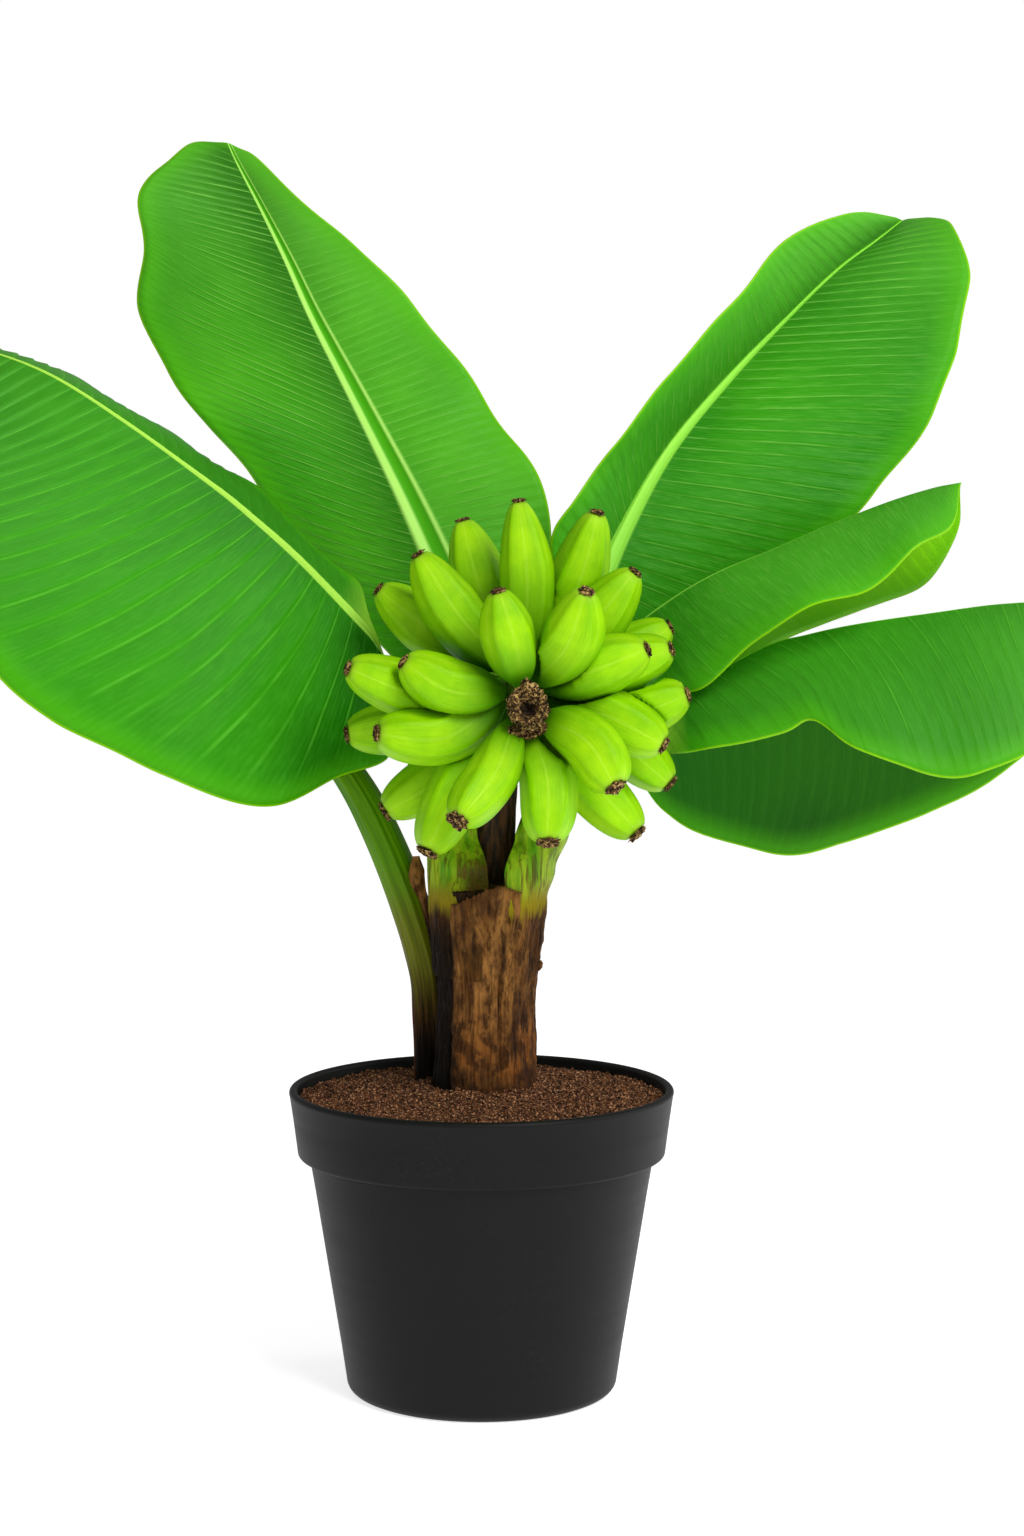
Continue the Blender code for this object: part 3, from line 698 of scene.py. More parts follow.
# --------------------------------------------------------------------------- The leaves
# Five broad leaves, each one living sheet: a channelled stalk that runs on as a pale midrib,
# and a thin blade on both sides of it, pleated along the veins that run out to the margin.

# Stations from a leaf's foot to its tip, in millimetres: left edge, midrib, right edge.
LEAVES = {
    "leaf_upper_left": [
        ((-22, 24, 420), (-8, 30, 420), (6, 26, 420)),
        ((-14, 40, 510), (-3, 44, 510), (8, 41, 510)),
        ((-64, 74, 592), (-10, 56, 610), (18, 62, 606)),
        ((-124, 94, 655), (-28, 66, 670), (52, 76, 662)),
        ((-182, 100, 737), (-57, 80, 735), (56, 80, 735)),
        ((-250, 102, 825), (-100, 110, 818), (4, 106, 825)),
        ((-295, 140, 900), (-142, 140, 895), (-60, 124, 910)),
        ((-294, 162, 955), (-167, 160, 947), (-106, 142, 955)),
        ((-298, 162, 1005), (-192, 182, 995), (-158, 166, 1000)),
        ((-262, 194, 1048), (-214, 202, 1035), (-196, 196, 1038)),
        ((-232, 214, 1057), (-223, 212, 1053), (-215, 212, 1051)),
    ],
    "leaf_upper_right": [
        ((14, 28, 420), (27, 31, 420), (38, 23, 420)),
        ((46, 40, 515), (57, 41, 515), (67, 36, 515)),
        ((66, 48, 612), (80, 47, 612), (94, 52, 606)),
        ((58, 30, 660), (92, 53, 652), (155, 74, 630)),
        ((66, 6, 720), (116, 65, 712), (255, 80, 685)),
        ((102, 6, 776), (155, 82, 780), (330, 78, 745)),
        ((160, 22, 850), (210, 108, 845), (386, 84, 825)),
        ((212, 50, 910), (262, 134, 898), (406, 98, 888)),
        ((255, 88, 960), (307, 158, 940), (413, 122, 945)),
        ((310, 136, 985), (344, 180, 968), (402, 156, 980)),
        ((356, 188, 990), (367, 194, 986), (377, 190, 988)),
    ],
    "leaf_right": [
        ((30, 14, 420), (37, 6, 420), (38, -3, 420)),
        ((60, 28, 505), (69, 20, 505), (71, 11, 500)),
        ((96, 30, 580), (103, 16, 590), (106, 6, 576)),
        ((150, 56, 586), (124, 10, 638), (146, -2, 584)),
        ((190, 66, 588), (152, 0, 662), (180, -36, 588)),
        ((240, 64, 617), (190, -14, 684), (218, -68, 626)),
        ((290, 56, 638), (238, -22, 705), (260, -88, 655)),
        ((336, 44, 655), (280, -28, 725), (302, -96, 670)),
        ((372, 28, 676), (322, -32, 741), (342, -88, 702)),
        ((390, -2, 714), (364, -34, 754), (376, -68, 720)),
        ((391, -29, 752), (388, -34, 759), (389, -39, 753)),
    ],
    "leaf_lower_right": [
        ((36, -4, 424), (30, -14, 424), (18, -20, 424)),
        ((72, -1, 490), (66, -9, 492), (54, -14, 488)),
        ((112, 12, 532), (110, 0, 550), (112, -8, 532)),
        ((150, 32, 482), (140, -3, 564), (150, -18, 534)),
        ((204, 54, 452), (182, -12, 598), (186, -60, 540)),
        ((262, 68, 445), (232, -26, 626), (240, -90, 556)),
        ((304, 70, 449), (264, -32, 635), (265, -100, 567)),
        ((345, 64, 462), (300, -38, 644), (298, -124, 546)),
        ((402, 44, 492), (355, -44, 654), (354, -142, 529)),
        ((455, 10, 534), (420, -52, 662), (416, -136, 536)),
        ((500, -24, 585), (478, -58, 661), (480, -104, 578)),
        ((524, -56, 634), (521, -60, 640), (520, -66, 635)),
    ],
    "leaf_left": [
        ((-16, -20, 420), (-25, -13, 420), (-33, 1, 420)),
        ((-26, -2, 490), (-38, 4, 490), (-44, 16, 490)),
        ((-64, 6, 562), (-77, 14, 604), (-78, 24, 604)),
        ((-78, 3, 526), (-88, 13, 628), (-94, 40, 645)),
        ((-118, -10, 512), (-104, 8, 647), (-103, 56, 670)),
        ((-165, -42, 496), (-126, 0, 671), (-118, 62, 684)),
        ((-225, -78, 512), (-150, -8, 696), (-142, 66, 704)),
        ((-285, -96, 534), (-180, -14, 724), (-170, 72, 728)),
        ((-345, -110, 571), (-216, -20, 755), (-202, 80, 762)),
        ((-408, -122, 644), (-280, -30, 802), (-272, 90, 803)),
        ((-452, -118, 740), (-355, -34, 847), (-352, 64, 846)),
        ((-476, -88, 820), (-425, -38, 869), (-425, 14, 870)),
        ((-478, -48, 860), (-474, -43, 862), (-473, -38, 862)),
    ],
}
LEAF_ROW = 0.0016           # one row of faces along a leaf
RIB_COLUMNS = (0.0, 0.35, 0.68, 0.90, 1.0, 1.14)    # corners across half a midrib
BLADE_COLUMNS = 16          # columns of faces from there to the margin
RIB_HALF_WIDTHS = (0.0125, 0.0125, 0.0125, 0.0118, 0.0100, 0.0080, 0.0062, 0.0045, 0.0029, 0.0014)
RIB_THICKNESS = 0.010
BLADE_THICKNESS = 0.0010
BLADE_CROWN = 0.03          # how far each half arches up, against its width


def even_rows(stations):
    """How far along, left edge, midrib and right edge, in even steps along the midrib."""
    left, rib, right = (smooth_line([[value / 1000 for value in point] for point in line], 60)
                        for line in zip(*stations))
    travelled = [0.0]
    for start, end in zip(rib, rib[1:]):
        travelled.append(travelled[-1] + (end - start).length)
    count = round(travelled[-1] / LEAF_ROW)
    rows, index = [], 0
    for step in range(count + 1):
        far = travelled[-1] * step / count
        while travelled[index + 1] < far and index < len(travelled) - 2:
            index += 1
        share = (far - travelled[index]) / (travelled[index + 1] - travelled[index])
        rows.append((far, *(line[index].lerp(line[index + 1], share) for line in (left, rib, right))))
    return rows


def row_at(rows, place):
    """The row at a place between two rows: how far along, the way ahead, the midrib, and from
    there to the left and the right edge. A leaf starts upright."""
    index, last = int(place), len(rows) - 1
    far, left, rib, right = (a + (b - a) * (place - index)
                             for a, b in zip(rows[index], rows[index + 1]))
    ahead = rows[min(index + 2, last)][2] - rows[max(index - 1, 0)][2]
    if far < 0.03:
        ahead = ahead.normalized().lerp(Vector((0, 0, 1)), 1 - far / 0.03)
    return far, ahead, rib, left - rib, right - rib


def pleat_height(vein):
    """Height of the pleats: a steep rise onto each vein, then a slow fall, around 0."""
    beat = vein % 1.0
    return ((1 - beat) ** 1.4 if beat > 0.12 else beat / 0.12) - 0.5


def make_leaf(name, stations, leans, pleat, pleat_depth, rib_size, skins):
    """One leaf, its rows of faces laid along its veins. The veins lean towards the tip, for
    each metre across, by leans: of the left and the right half, each at its foot and its tip,
    and then how much they bend that way further out."""
    rows = even_rows(stations)
    length, last = rows[-1][0], len(rows) - 1
    half = len(RIB_COLUMNS) - 1 + BLADE_COLUMNS
    weights, vein_place, edge_place = [], [], []

    def vein_run(row, v, on_left):
        """How far towards the tip a vein has run where it is v across."""
        root = rows[row][0]
        ends = min(1.0, root / 0.16) * min(1.0, (length - root) / (0.55 * length))
        foot_lean, tip_lean, bend = leans[0 if on_left else 1]
        run = (foot_lean + (tip_lean - foot_lean) * root / length) * v + bend * v * v
        return run * (ends * ends * (3 - 2 * ends))

    def place_of(across, up):
        column = round(across * 2 * half) - half
        row = round(up * last)
        step, on_left, root = abs(column), column < 0, rows[row][0]
        reach = (rows[row][1 if on_left else 3] - rows[row][2]).length
        run = vein_run(row, reach * max(0, step - 3) / (half - 3), on_left)
        far, ahead, rib, out_left, out_right = row_at(
            rows, min(last * min(1.0, (root + run) / length), last - 0.0001))

        # the half-widths of the blade and of the midrib, and the way across this half
        tip = math.sqrt(1 - ramp(far, length - 0.016, length) ** 2)
        out = out_left if on_left else out_right
        width = out.length * max(tip, 0.02)
        slim = rib_size + (1 - rib_size) * ramp(far, 0.25 * length, 0)
        half_rib = min(along(RIB_HALF_WIDTHS, far / length) * slim, 0.80 * width)
        scallop = 0.0075 * uneven(far * 15, 5 if on_left else 9, length)
        width += scallop * ramp(width, 0.040, 0.070) * tip
        v = RIB_COLUMNS[min(step, len(RIB_COLUMNS) - 1)] * half_rib
        v += (width - v) * max(0, step - len(RIB_COLUMNS) + 1) / BLADE_COLUMNS
        share, ribwise = v / width, v / half_rib
        out = out.normalized()

        # which way is up: between the halves on the midrib, square to the half further out
        up_left = ahead.cross(out_left).normalized()
        up_right = out_right.cross(ahead).normalized()
        up_middle = (up_left + up_right).normalized()
        up_half = up_left if on_left else up_right
        up_here = up_middle.lerp(up_half, min(1.0, v / (3 * half_rib))).normalized()
        fold = math.sqrt(max(0.0, 1 - up_middle.dot(up_half) ** 2))

        # the relief: the crown, the pleats, the wavy margin, and the midrib's channel
        vein = (root + 0.0030 * uneven(root * 14, v * 9, 3 if on_left else 8)) / pleat
        blade = ramp(width, 0.030, 0.080)
        calm = ramp(ribwise, 1.1, 2.3) * ramp(share, 1.0, 0.84)
        lift = BLADE_CROWN * math.sin(math.pi * share) * width
        lift += pleat_depth * blade * calm * pleat_height(vein)
        lift += blade * 0.0070 * share ** 3 * uneven(far * 15, 2 if on_left else 7, 1)
        lift += blade * 0.0020 * uneven(far * 8, v * 9 * (1 if column > 0 else -1), 6)
        lift += 0.07 * half_rib * math.exp(-((ribwise - 1.02) / 0.16) ** 2)
        lift -= max(0.0, 1 - ribwise ** 2) * half_rib * 0.34 * (1 - fold)
        drop = math.hypot(v * fold, 0.0045 * fold) - v * fold

        rib_thick = RIB_THICKNESS * (1 - 0.72 * far / length) * min(1.0, half_rib / 0.0030 + 0.2)
        round_rib = math.sqrt(max(0.0, 1 - (v / (1.14 * half_rib)) ** 2))
        thick = BLADE_THICKNESS + rib_thick * round_rib * (0.3 + 0.7 * tip)
        weights.append(min(1.0, thick / (RIB_THICKNESS * 1.2)))
        vein_place.extend((vein, v if column > 0 else -v, far))
        on_stalk = ramp(width, 0.060, 0.026) if far < 0.4 * length else 0.0
        edge_place.extend((ribwise, width - v, on_stalk))
        return rib + out * v + up_here * lift - up_middle * drop
    leaf = wrap_sheet(name, 2 * half, last, place_of)
    for attribute, values in [("vein_place", vein_place), ("edge_place", edge_place)]:
        leaf.data.attributes.new(attribute, "FLOAT_VECTOR", "POINT").data.foreach_set("vector", values)
    for skin in skins:
        leaf.data.materials.append(skin)
    thicken(leaf, RIB_THICKNESS * 1.2, weights=weights)
    return leaf


def leaf_finish(name, deep, bright, vein_colour, rib_low, rib_high, gloss,
                marked=(1, 1), shaded=(0, 0), painted_light=(0, 0)):
    """Leaf skin: a line along each vein, a pale midrib and a thin yellow-green margin, with painted
    light and shade on the blade. For the left and right half: how marked the veins are, how dark the
    painted shade in the valley beside the midrib is, and how much painted light makes the half paler."""
    material, place = new_material(name)
    vein_place = place.attribute("vein_place")
    vein, side, far = vein_place.axes()
    ribwise, margin, on_stalk = place.attribute("edge_place").axes()
    across = abs(side)
    left = side.fade(0.0006, -0.0006)
    mark = left * marked[0] + (1 - left) * marked[1]
    shade = left * shaded[0] + (1 - left) * shaded[1]
    # How much painted light makes this half paler.
    lift = left * painted_light[0] + (1 - left) * painted_light[1]
    cloud = place.speckle(5, 2)
    on_blade = ribwise.fade(1.0, 1.5) * (1 - on_stalk)
    line = vein.math("PINGPONG", 0.5).fade(0.075, 0.01)
    thin = vein.math("PINGPONG", 0.085).fade(0.065, 0.0)
    beat = vein.math("FRACT")
    broken = vein_place.stretched(0.75, 22, 0.2).speckle(1.0, 2)
    weave = vein_place.stretched(9, 70, 1).speckle(1.0, 2)
    calm = margin.fade(0.004, 0.060) * (0.35 + 0.65 * broken.fade(0.40, 0.60)) * far.fade(0.10, 0.20)
    blade = cloud.fade(0.25, 0.75).colour(deep, bright)
    # Painted sheen: the blade goes paler towards its tip.
    blade = (far.fade(0.40, 0.85) * 0.26).colour(blade, paint(134, 204, 92))
    # Painted shade: the blade darkens towards its foot, where the bunch hangs over it.
    blade = (far.fade(0.36, 0.16) * 0.65).colour(blade, paint(16, 96, 0))
    # Painted light: one half of the blade is made paler, as much as the last argument asks.
    blade = lift.colour(blade, paint(128, 208, 84))
    # Painted shade: the blade darkens in the valley beside the midrib, strongly on the half that shaded
    # asks for and a little on both.
    valley = across.fade(0.075, 0.004)
    blade = (valley * shade + across.fade(0.035, 0.005) * 0.15).colour(blade, paint(20, 92, 0))
    # Painted shade: each pleat darkens from one vein towards the next, deepest in the trough before the
    # steep rise.
    blade = (beat.fade(0.0, 0.8) * calm * mark * 0.36).colour(blade, paint(26, 104, 0))
    blade = (line * calm * mark * 0.75).colour(blade, vein_colour)
    blade = (thin * 0.05 + weave.fade(0.42, 0.72) * 0.10).colour(blade, vein_colour)
    blade = (margin.fade(0.0024, 0.0004) * 0.9).colour(blade, paint(158, 212, 10))
    # Painted light: the blade is brighter green within a few centimetres of its margin.
    blade = (margin.fade(0.030, 0.002) * 0.40).colour(blade, paint(84, 186, 0))
    # The midrib's own pale colour, with painted light and shade on its channel: the floor and the right
    # wall take rib_low, the left wall and the right lip take rib_high.
    wall = left * ribwise.fade(0.12, 0.55) + (1 - left) * ribwise.fade(0.72, 0.95)
    skin = on_blade.colour(wall.colour(rib_low, rib_high), blade)
    streak = vein_place.stretched(0.01, 420, 9).speckle(1.0, 3, 0.6)
    stalk = streak.fade(0.30, 0.70).colour(paint(84, 146, 0), paint(138, 184, 24))
    skin = (on_stalk * 0.85).colour(skin, stalk)
    foot = streak.fade(0.30, 0.70).colour(paint(112, 140, 4), paint(166, 182, 36))
    skin = (far + 0.045 * (streak - 0.5)).fade(0.075, 0.030).colour(skin, foot)
    dress(material, Base_Color=skin,
          Roughness=gloss + 0.08 * cloud + 0.05 * line,
          Normal=(on_blade * calm * mark * (line * 0.40 + (1 - beat) * 0.60)
                              + on_blade * (thin * 0.05 + weave * 0.12)
                              + (1 - on_blade) * streak * 0.2).relief(0.0010, 0.7),
          Specular_IOR_Level=0.10)
    return material


PALE_VEIN = paint(142, 220, 88)
leaf_top = leaf_finish("leaf_top", paint(44, 138, 4), paint(84, 182, 24), PALE_VEIN,
                       paint(74, 168, 18), paint(178, 236, 108), 0.42, (0.9, 0.5), (0.70, 0.0),
                       (0.0, 0.10))
leaf_top_right = leaf_finish("leaf_top_right", paint(26, 124, 0), paint(62, 162, 8), PALE_VEIN,
                             paint(166, 232, 88), paint(148, 220, 70), 0.46, (0.35, 0.6),
                             (0.0, 0.10), (0.06, 0.0))
leaf_top_folded = leaf_finish("leaf_top_folded", paint(36, 128, 4), paint(76, 168, 34), PALE_VEIN,
                              paint(140, 210, 70), paint(140, 210, 70), 0.44, (0.3, 0.18),
                              (0.0, 0.0), (0.0, 0.0))
leaf_top_arched = leaf_finish("leaf_top_arched", paint(24, 112, 0), paint(50, 146, 2),
                              paint(92, 186, 48), paint(170, 226, 80), paint(170, 226, 80), 0.44,
                              (0.75, 0.6), (0.0, 0.0), (0.0, 0.10))
# A shaded copy of the underside: painted dark green, for undersides that hang in shade.
leaf_under = leaf_finish("leaf_underside", paint(10, 72, 0), paint(30, 98, 0), paint(60, 130, 0),
                         paint(90, 160, 20), paint(84, 148, 20), 0.55, (0.15, 0.15))
# A lit copy of the underside: painted bright yellow-green, for light that shines through the leaf.
leaf_under_lit = leaf_finish("leaf_underside_lit", paint(122, 204, 0), paint(148, 224, 4),
                               paint(170, 226, 40), paint(150, 206, 40), paint(130, 196, 20),
                               0.50, (0.4, 0.4))
for name, leans, pleat, pleat_depth, rib_size, top, underside in [
    ("leaf_upper_left", ((-0.35, 1.25, 1.2), (-0.10, 0.55, 0.2)), 0.0085, 0.0017, 1.0, leaf_top,
     leaf_under),
    ("leaf_upper_right", ((0.60, 1.20, 0.3), (-0.65, 0.65, 0.3)), 0.0110, 0.0014, 0.66,
     leaf_top_right, leaf_under),
    ("leaf_right", ((0.10, 0.50, 0.5), (0.10, 0.50, 0.5)), 0.0130, 0.0006, 0.36, leaf_top_folded,
     leaf_under_lit),
    ("leaf_lower_right", ((0.30, 0.60, -2.5), (0.70, 1.20, -2.5)), 0.0135, 0.0013, 0.36,
     leaf_top_arched, leaf_under),
    ("leaf_left", ((-0.35, 1.10, 0.3), (0.30, 0.80, 0.3)), 0.0145, 0.0014, 0.36, leaf_top_arched,
     leaf_under),
]:
    leaf = make_leaf(name, LEAVES[name], leans, pleat, pleat_depth, rib_size, (top, underside))
    part_of(leaf, "green_leaf", name)

# --------------------------------------------------------------------- The fruit stalk
# The flower stem comes up through the trunk, turns over and carries the bunch. Its end has
# died back to a dark, crumbly stub with the scars of the flower's bracts under it.

BUNCH_START = Vector((0.030, -0.020, 0.602))
BUNCH_END = Vector((0.038, -0.142, 0.577))
STALK_RADII = [0.0185, 0.0175, 0.0150, 0.0130, 0.0130, 0.0125, 0.0125]
stalk_line = smooth_line([(0.008, 0.002, 0.415), (0.012, 0.006, 0.500), (0.020, 0.010, 0.560),
                          (0.027, 0.003, 0.596), BUNCH_START, BUNCH_START.lerp(BUNCH_END, 0.5),
                          BUNCH_END], 24)


def stalk_radius(share, turn, centre):
    """Radius of the fruit stalk, rougher low down."""
    rough = uneven(math.cos(turn) * 4, math.sin(turn) * 4, centre.z * 26 + centre.y * 40)
    low = ramp(centre.z, 0.52, 0.46)
    return along(STALK_RADII, share) + rough * (0.0005 + 0.0015 * low)


fruit_stalk = make_stem("fruit_stalk", stalk_line, 96, stalk_radius)
stalk_bark, place = new_material("stalk_bark")
height = place.axes()[2]
streak = place.stretched(1, 1, 0.12).speckle(330, 4, 0.6)
patch = place.speckle(60, 3, 0.6)
dead = streak.fade(0.38, 0.62).colour(paint(22, 12, 5), paint(78, 46, 18))
living = streak.fade(0.38, 0.62).colour(paint(70, 110, 14), paint(110, 150, 30))
dress(stalk_bark,
      Base_Color=(height + 0.03 * (patch - 0.5)).fade(0.505, 0.550).colour(dead, living),
      Roughness=0.62 + 0.2 * patch,
      Normal=(streak * 0.7 + patch * 0.3).relief(0.0016, 0.8),
      Specular_IOR_Level=0.3)
part_of(fruit_stalk, "stalk_bark", "fruit_stalk", skin=stalk_bark)

crumbly, place = new_material("dried_flower")
x, _, z = place.axes()
x, z = x - BUNCH_END.x, z - (BUNCH_END.z + 0.002)
from_stub_middle = (x * x + z * z).math("SQRT")
crumb_tone = place.speckle(340, 4, 0.7)
fleck = place.speckle(800, 2)
body = crumb_tone.fade(0.42, 0.56).colour(paint(20, 8, 4), paint(96, 66, 22))
body = (crumb_tone.fade(0.53, 0.60) * 0.95).colour(body, paint(190, 158, 96))
body = (fleck.fade(0.60, 0.70) * 0.6).colour(body, paint(196, 168, 120))
# Painted shade: the sunken middle of the dried stub goes near-black.
body = ((from_stub_middle + 0.004 * (fleck - 0.5)).fade(0.0072, 0.0045) * 0.9).colour(body, paint(12, 5, 2))
dress(crumbly, Base_Color=body, Roughness=0.92,
      Normal=(crumb_tone * 0.6 + fleck * 0.4).relief(0.0014, 1.0), Specular_IOR_Level=0.2)


def crumbly_knob(name, centre, size, hollow, seed):
    """A dead, crumbly lump whose middle is sunken at its front."""
    bpy.ops.object.select_all(action="DESELECT")
    bpy.ops.mesh.primitive_uv_sphere_add(segments=72, ring_count=44, radius=1)
    knob = bpy.context.object
    knob.name = knob.data.name = name
    for vertex in knob.data.vertices:
        x, front, z = vertex.co.x, vertex.co.z, vertex.co.y
        flat = math.hypot(x, z)
        flake = noise.noise(vertex.co * 3.4 + Vector((seed, 0, 0)))
        bit = noise.noise(vertex.co * 9.5 + Vector((0, seed, 0)))
        fibre = uneven(6.5 * x / (flat + 0.05), 6.5 * z / (flat + 0.05), seed + front)
        grow = 1 + 0.26 * flake + 0.30 * abs(bit) + 0.30 * max(0.0, fibre) * flat
        grow += 0.32 * max(0.0, z) ** 8
        middle = math.exp(-(flat / 0.52) ** 4) if front > 0 else 0.0
        rim = math.exp(-((flat - 0.72) / 0.18) ** 2) * max(0.0, 0.4 + fibre + bit) if front > 0 else 0.0
        vertex.co = centre + Vector((x * size.x * grow,
                                     -front * size.y * grow + hollow * middle - 0.4 * size.y * rim,
                                     z * size.z * grow))
    close_ends(knob)
    part_of(knob, "stalk_bark", skin=crumbly)


for name, centre, size, hollow, seed in [
    ("dried_stub", BUNCH_END + Vector((0.000, -0.006, 0.003)), (0.0140, 0.0095, 0.0148), 0.0125, 1),
    ("bract_scar_left", Vector((0.0262, -0.139, 0.5570)), (0.0065, 0.0060, 0.0060), 0.0030, 5),
    ("bract_scar_middle", Vector((0.0370, -0.137, 0.5598)), (0.0080, 0.0055, 0.0042), 0.0010, 9),
    ("bract_scar_right", Vector((0.0470, -0.136, 0.5640)), (0.0055, 0.0055, 0.0050), 0.0010, 12),
]:
    crumbly_knob(name, centre, Vector(size), hollow, seed)

# -------------------------------------------------------------------------- The bananas
# Three hands of short green bananas around the stalk. A banana is five-sided with soft
# ridges, narrows to a stem at the stalk, and keeps the dry remains of its flower at the tip.

BANANA_RADIUS = 0.0244
SLIM_BANANAS = (1, 7, 10)   # these are a tenth thinner
BANANA_ROOT = 0.015         # each banana starts this far from the bunch's axis
# A banana points away from the bunch's axis. Each has the clock angle of its tip (degrees, 0 at
# +X and 90 up), its reach from the axis, the Y of its tip, the Y where it leaves the stalk, and
# how far its middle bows to the left of the way that it points.
BANANAS = [
    # the hand at the stalk's end
    (104, 0.094, -0.145, -0.124, 0.000), (62, 0.100, -0.162, -0.110, -0.008),
    (22, 0.105, -0.120, -0.098, 0.000), (-20, 0.119, -0.110, -0.085, 0.006),
    (-42, 0.094, -0.165, -0.116, 0.010), (-81, 0.112, -0.150, -0.102, 0.008),
    (-121, 0.102, -0.190, -0.112, 0.006), (-166, 0.120, -0.125, -0.090, 0.016),
    (162, 0.101, -0.125, -0.105, 0.010),
    # the middle hand
    (91, 0.149, -0.070, -0.066, -0.006), (128, 0.135, -0.078, -0.066, 0.006),
    (45, 0.129, -0.080, -0.060, -0.006), (14, 0.124, -0.085, -0.062, -0.004),
    (-2, 0.133, -0.085, -0.068, -0.020), (-52, 0.153, -0.085, -0.052, -0.006),
    (-120, 0.151, -0.105, -0.064, -0.004), (173, 0.139, -0.110, -0.065, 0.014),
    # the hand nearest the trunk
    (110, 0.133, -0.022, -0.026, 0.004), (64, 0.146, -0.055, -0.024, -0.010),
    (17, 0.130, -0.028, -0.026, -0.012), (-36, 0.153, -0.045, -0.026, 0.004),
    (-135, 0.155, -0.048, -0.036, 0.014), (-161, 0.148, -0.045, -0.028, 0.012),
    (149, 0.133, -0.033, -0.024, 0.006),
]
BANANA_OUTLINE = [          # share of the length from the stalk, share of the radius
    (0.00, 0.26), (0.05, 0.36), (0.11, 0.56), (0.20, 0.79), (0.33, 0.95), (0.48, 1.00),
    (0.62, 1.00), (0.74, 0.96), (0.84, 0.86), (0.91, 0.72), (0.96, 0.54), (1.00, 0.28),
]
BANANA_SEGMENTS = 40
BANANA_RINGS = 46


banana_curve = smooth_line([(share, width, 0) for share, width in BANANA_OUTLINE], 8)


def banana_width(share):
    """Radius of a banana at a share of its length."""
    for start, end in zip(banana_curve, banana_curve[1:]):
        if share <= end.x:
            step = (share - start.x) / (end.x - start.x)
            return BANANA_RADIUS * (start.y + (end.y - start.y) * step)
    return BANANA_RADIUS * banana_curve[-1].y


def five_sided(turn):
    """Radius of the section: a pentagon with soft corners, 1 at a ridge."""
    side = math.tau / 5
    pentagon = math.cos(side / 2) / math.cos((turn + side / 2) % side - side / 2)
    return 0.90 * pentagon + 0.10 * 0.945


# The one banana that the others are copied from stands upright: x and y are its section,
# z runs from 0 at the stem to 1 at the tip.
bpy.ops.mesh.primitive_uv_sphere_add(segments=BANANA_SEGMENTS, ring_count=BANANA_RINGS, radius=1)
banana_pattern = bpy.context.object
ridge_of, share_of = [], []
for vertex in banana_pattern.data.vertices:
    share = 0.5 + math.asin(max(-1.0, min(1.0, vertex.co.z))) / math.pi
    pole = math.hypot(vertex.co.x, vertex.co.y)
    turn = math.atan2(vertex.co.y, vertex.co.x) if pole > 0.0001 else 0.0
    cap = 1 - ramp(min(share, 1 - share), 0.010, 0) ** 2
    radius = banana_width(share) * five_sided(turn) * math.sqrt(max(0.0, cap)) * (pole > 0.0001)
    vertex.co = (radius * math.cos(turn), radius * math.sin(turn), share)
    ridge_of.append(0.5 + 0.5 * math.cos(5 * turn))
    share_of.append(share)

bpy.ops.object.select_all(action="DESELECT")
bpy.ops.mesh.primitive_uv_sphere_add(segments=28, ring_count=16, radius=1)
flower_pattern = bpy.context.object
for vertex in flower_pattern.data.vertices:
    flat = math.hypot(vertex.co.x, vertex.co.y)
    jag = 0.90 + 0.55 * noise.noise(vertex.co * 2.6) + 0.55 * abs(noise.noise(vertex.co * 7.5))
    sunk = 0.55 * math.exp(-flat * flat / 0.14) if vertex.co.z > 0 else 0.0
    vertex.co = (vertex.co.x * jag, vertex.co.y * jag,
                 (vertex.co.z * (0.9 if vertex.co.z > 0 else 0.7) * jag - sunk) * 0.42)


def banana_line(angle, reach, tip_y, root_y, bow):
    """The middle line of a banana, from its stem on the bunch's axis to its tip."""
    out = Vector((math.cos(math.radians(angle)), 0, math.sin(math.radians(angle))))
    left = Vector((-out.z, 0, out.x))
    foot = BUNCH_START.lerp(BUNCH_END, (root_y - BUNCH_START.y) / (BUNCH_END.y - BUNCH_START.y))
    root = foot + out * BANANA_ROOT
    tip = foot + out * reach
    tip.y = tip_y
    return smooth_line((root, root.lerp(tip, 0.5) + left * bow, tip), 30)


def press_back(corners, middles, other_line):
    """Push a banana's corners back towards its own middle where a banana in front lies."""
    other = np.array([tuple(point) for point in other_line])
    shares = np.linspace(0, 1, len(other))
    widths = np.array([banana_width(share) for share in shares]) * 0.965 + 0.0002
    keep = np.ones(len(corners))
    for _ in range(14):
        place = middles + (corners - middles) * keep[:, None]
        gap = np.linalg.norm(place[:, None, :] - other[None, :, :], axis=2) - widths[None, :]
        inside = gap.min(axis=1) < 0
        keep[inside] = np.maximum(0.12, keep[inside] - 0.07)
    return middles + (corners - middles) * keep[:, None]


green_peel, place = new_material("green_peel")
peel_place = place.attribute("peel_place")
share, ridge, _ = peel_place.axes()
cloud = place.speckle(38, 3, 0.55)
fibre = peel_place.stretched(5, 26, 9).speckle(1.0, 3, 0.6)
pore = place.speckle(900, 2, 0.6)
tone = cloud * 0.55 + fibre * 0.45
peel = tone.fade(0.34, 0.66).colour(paint(128, 192, 0), paint(160, 216, 4))
# Painted highlight: a paler line along each ridge.
peel = (ridge.fade(0.90, 1.0) * 0.16).colour(peel, paint(206, 240, 84))
# Painted shade: each facet is darker in its middle, between the ridges.
peel = ((1 - ridge).fade(0.2, 1.0) * 0.25).colour(peel, paint(104, 176, 0))
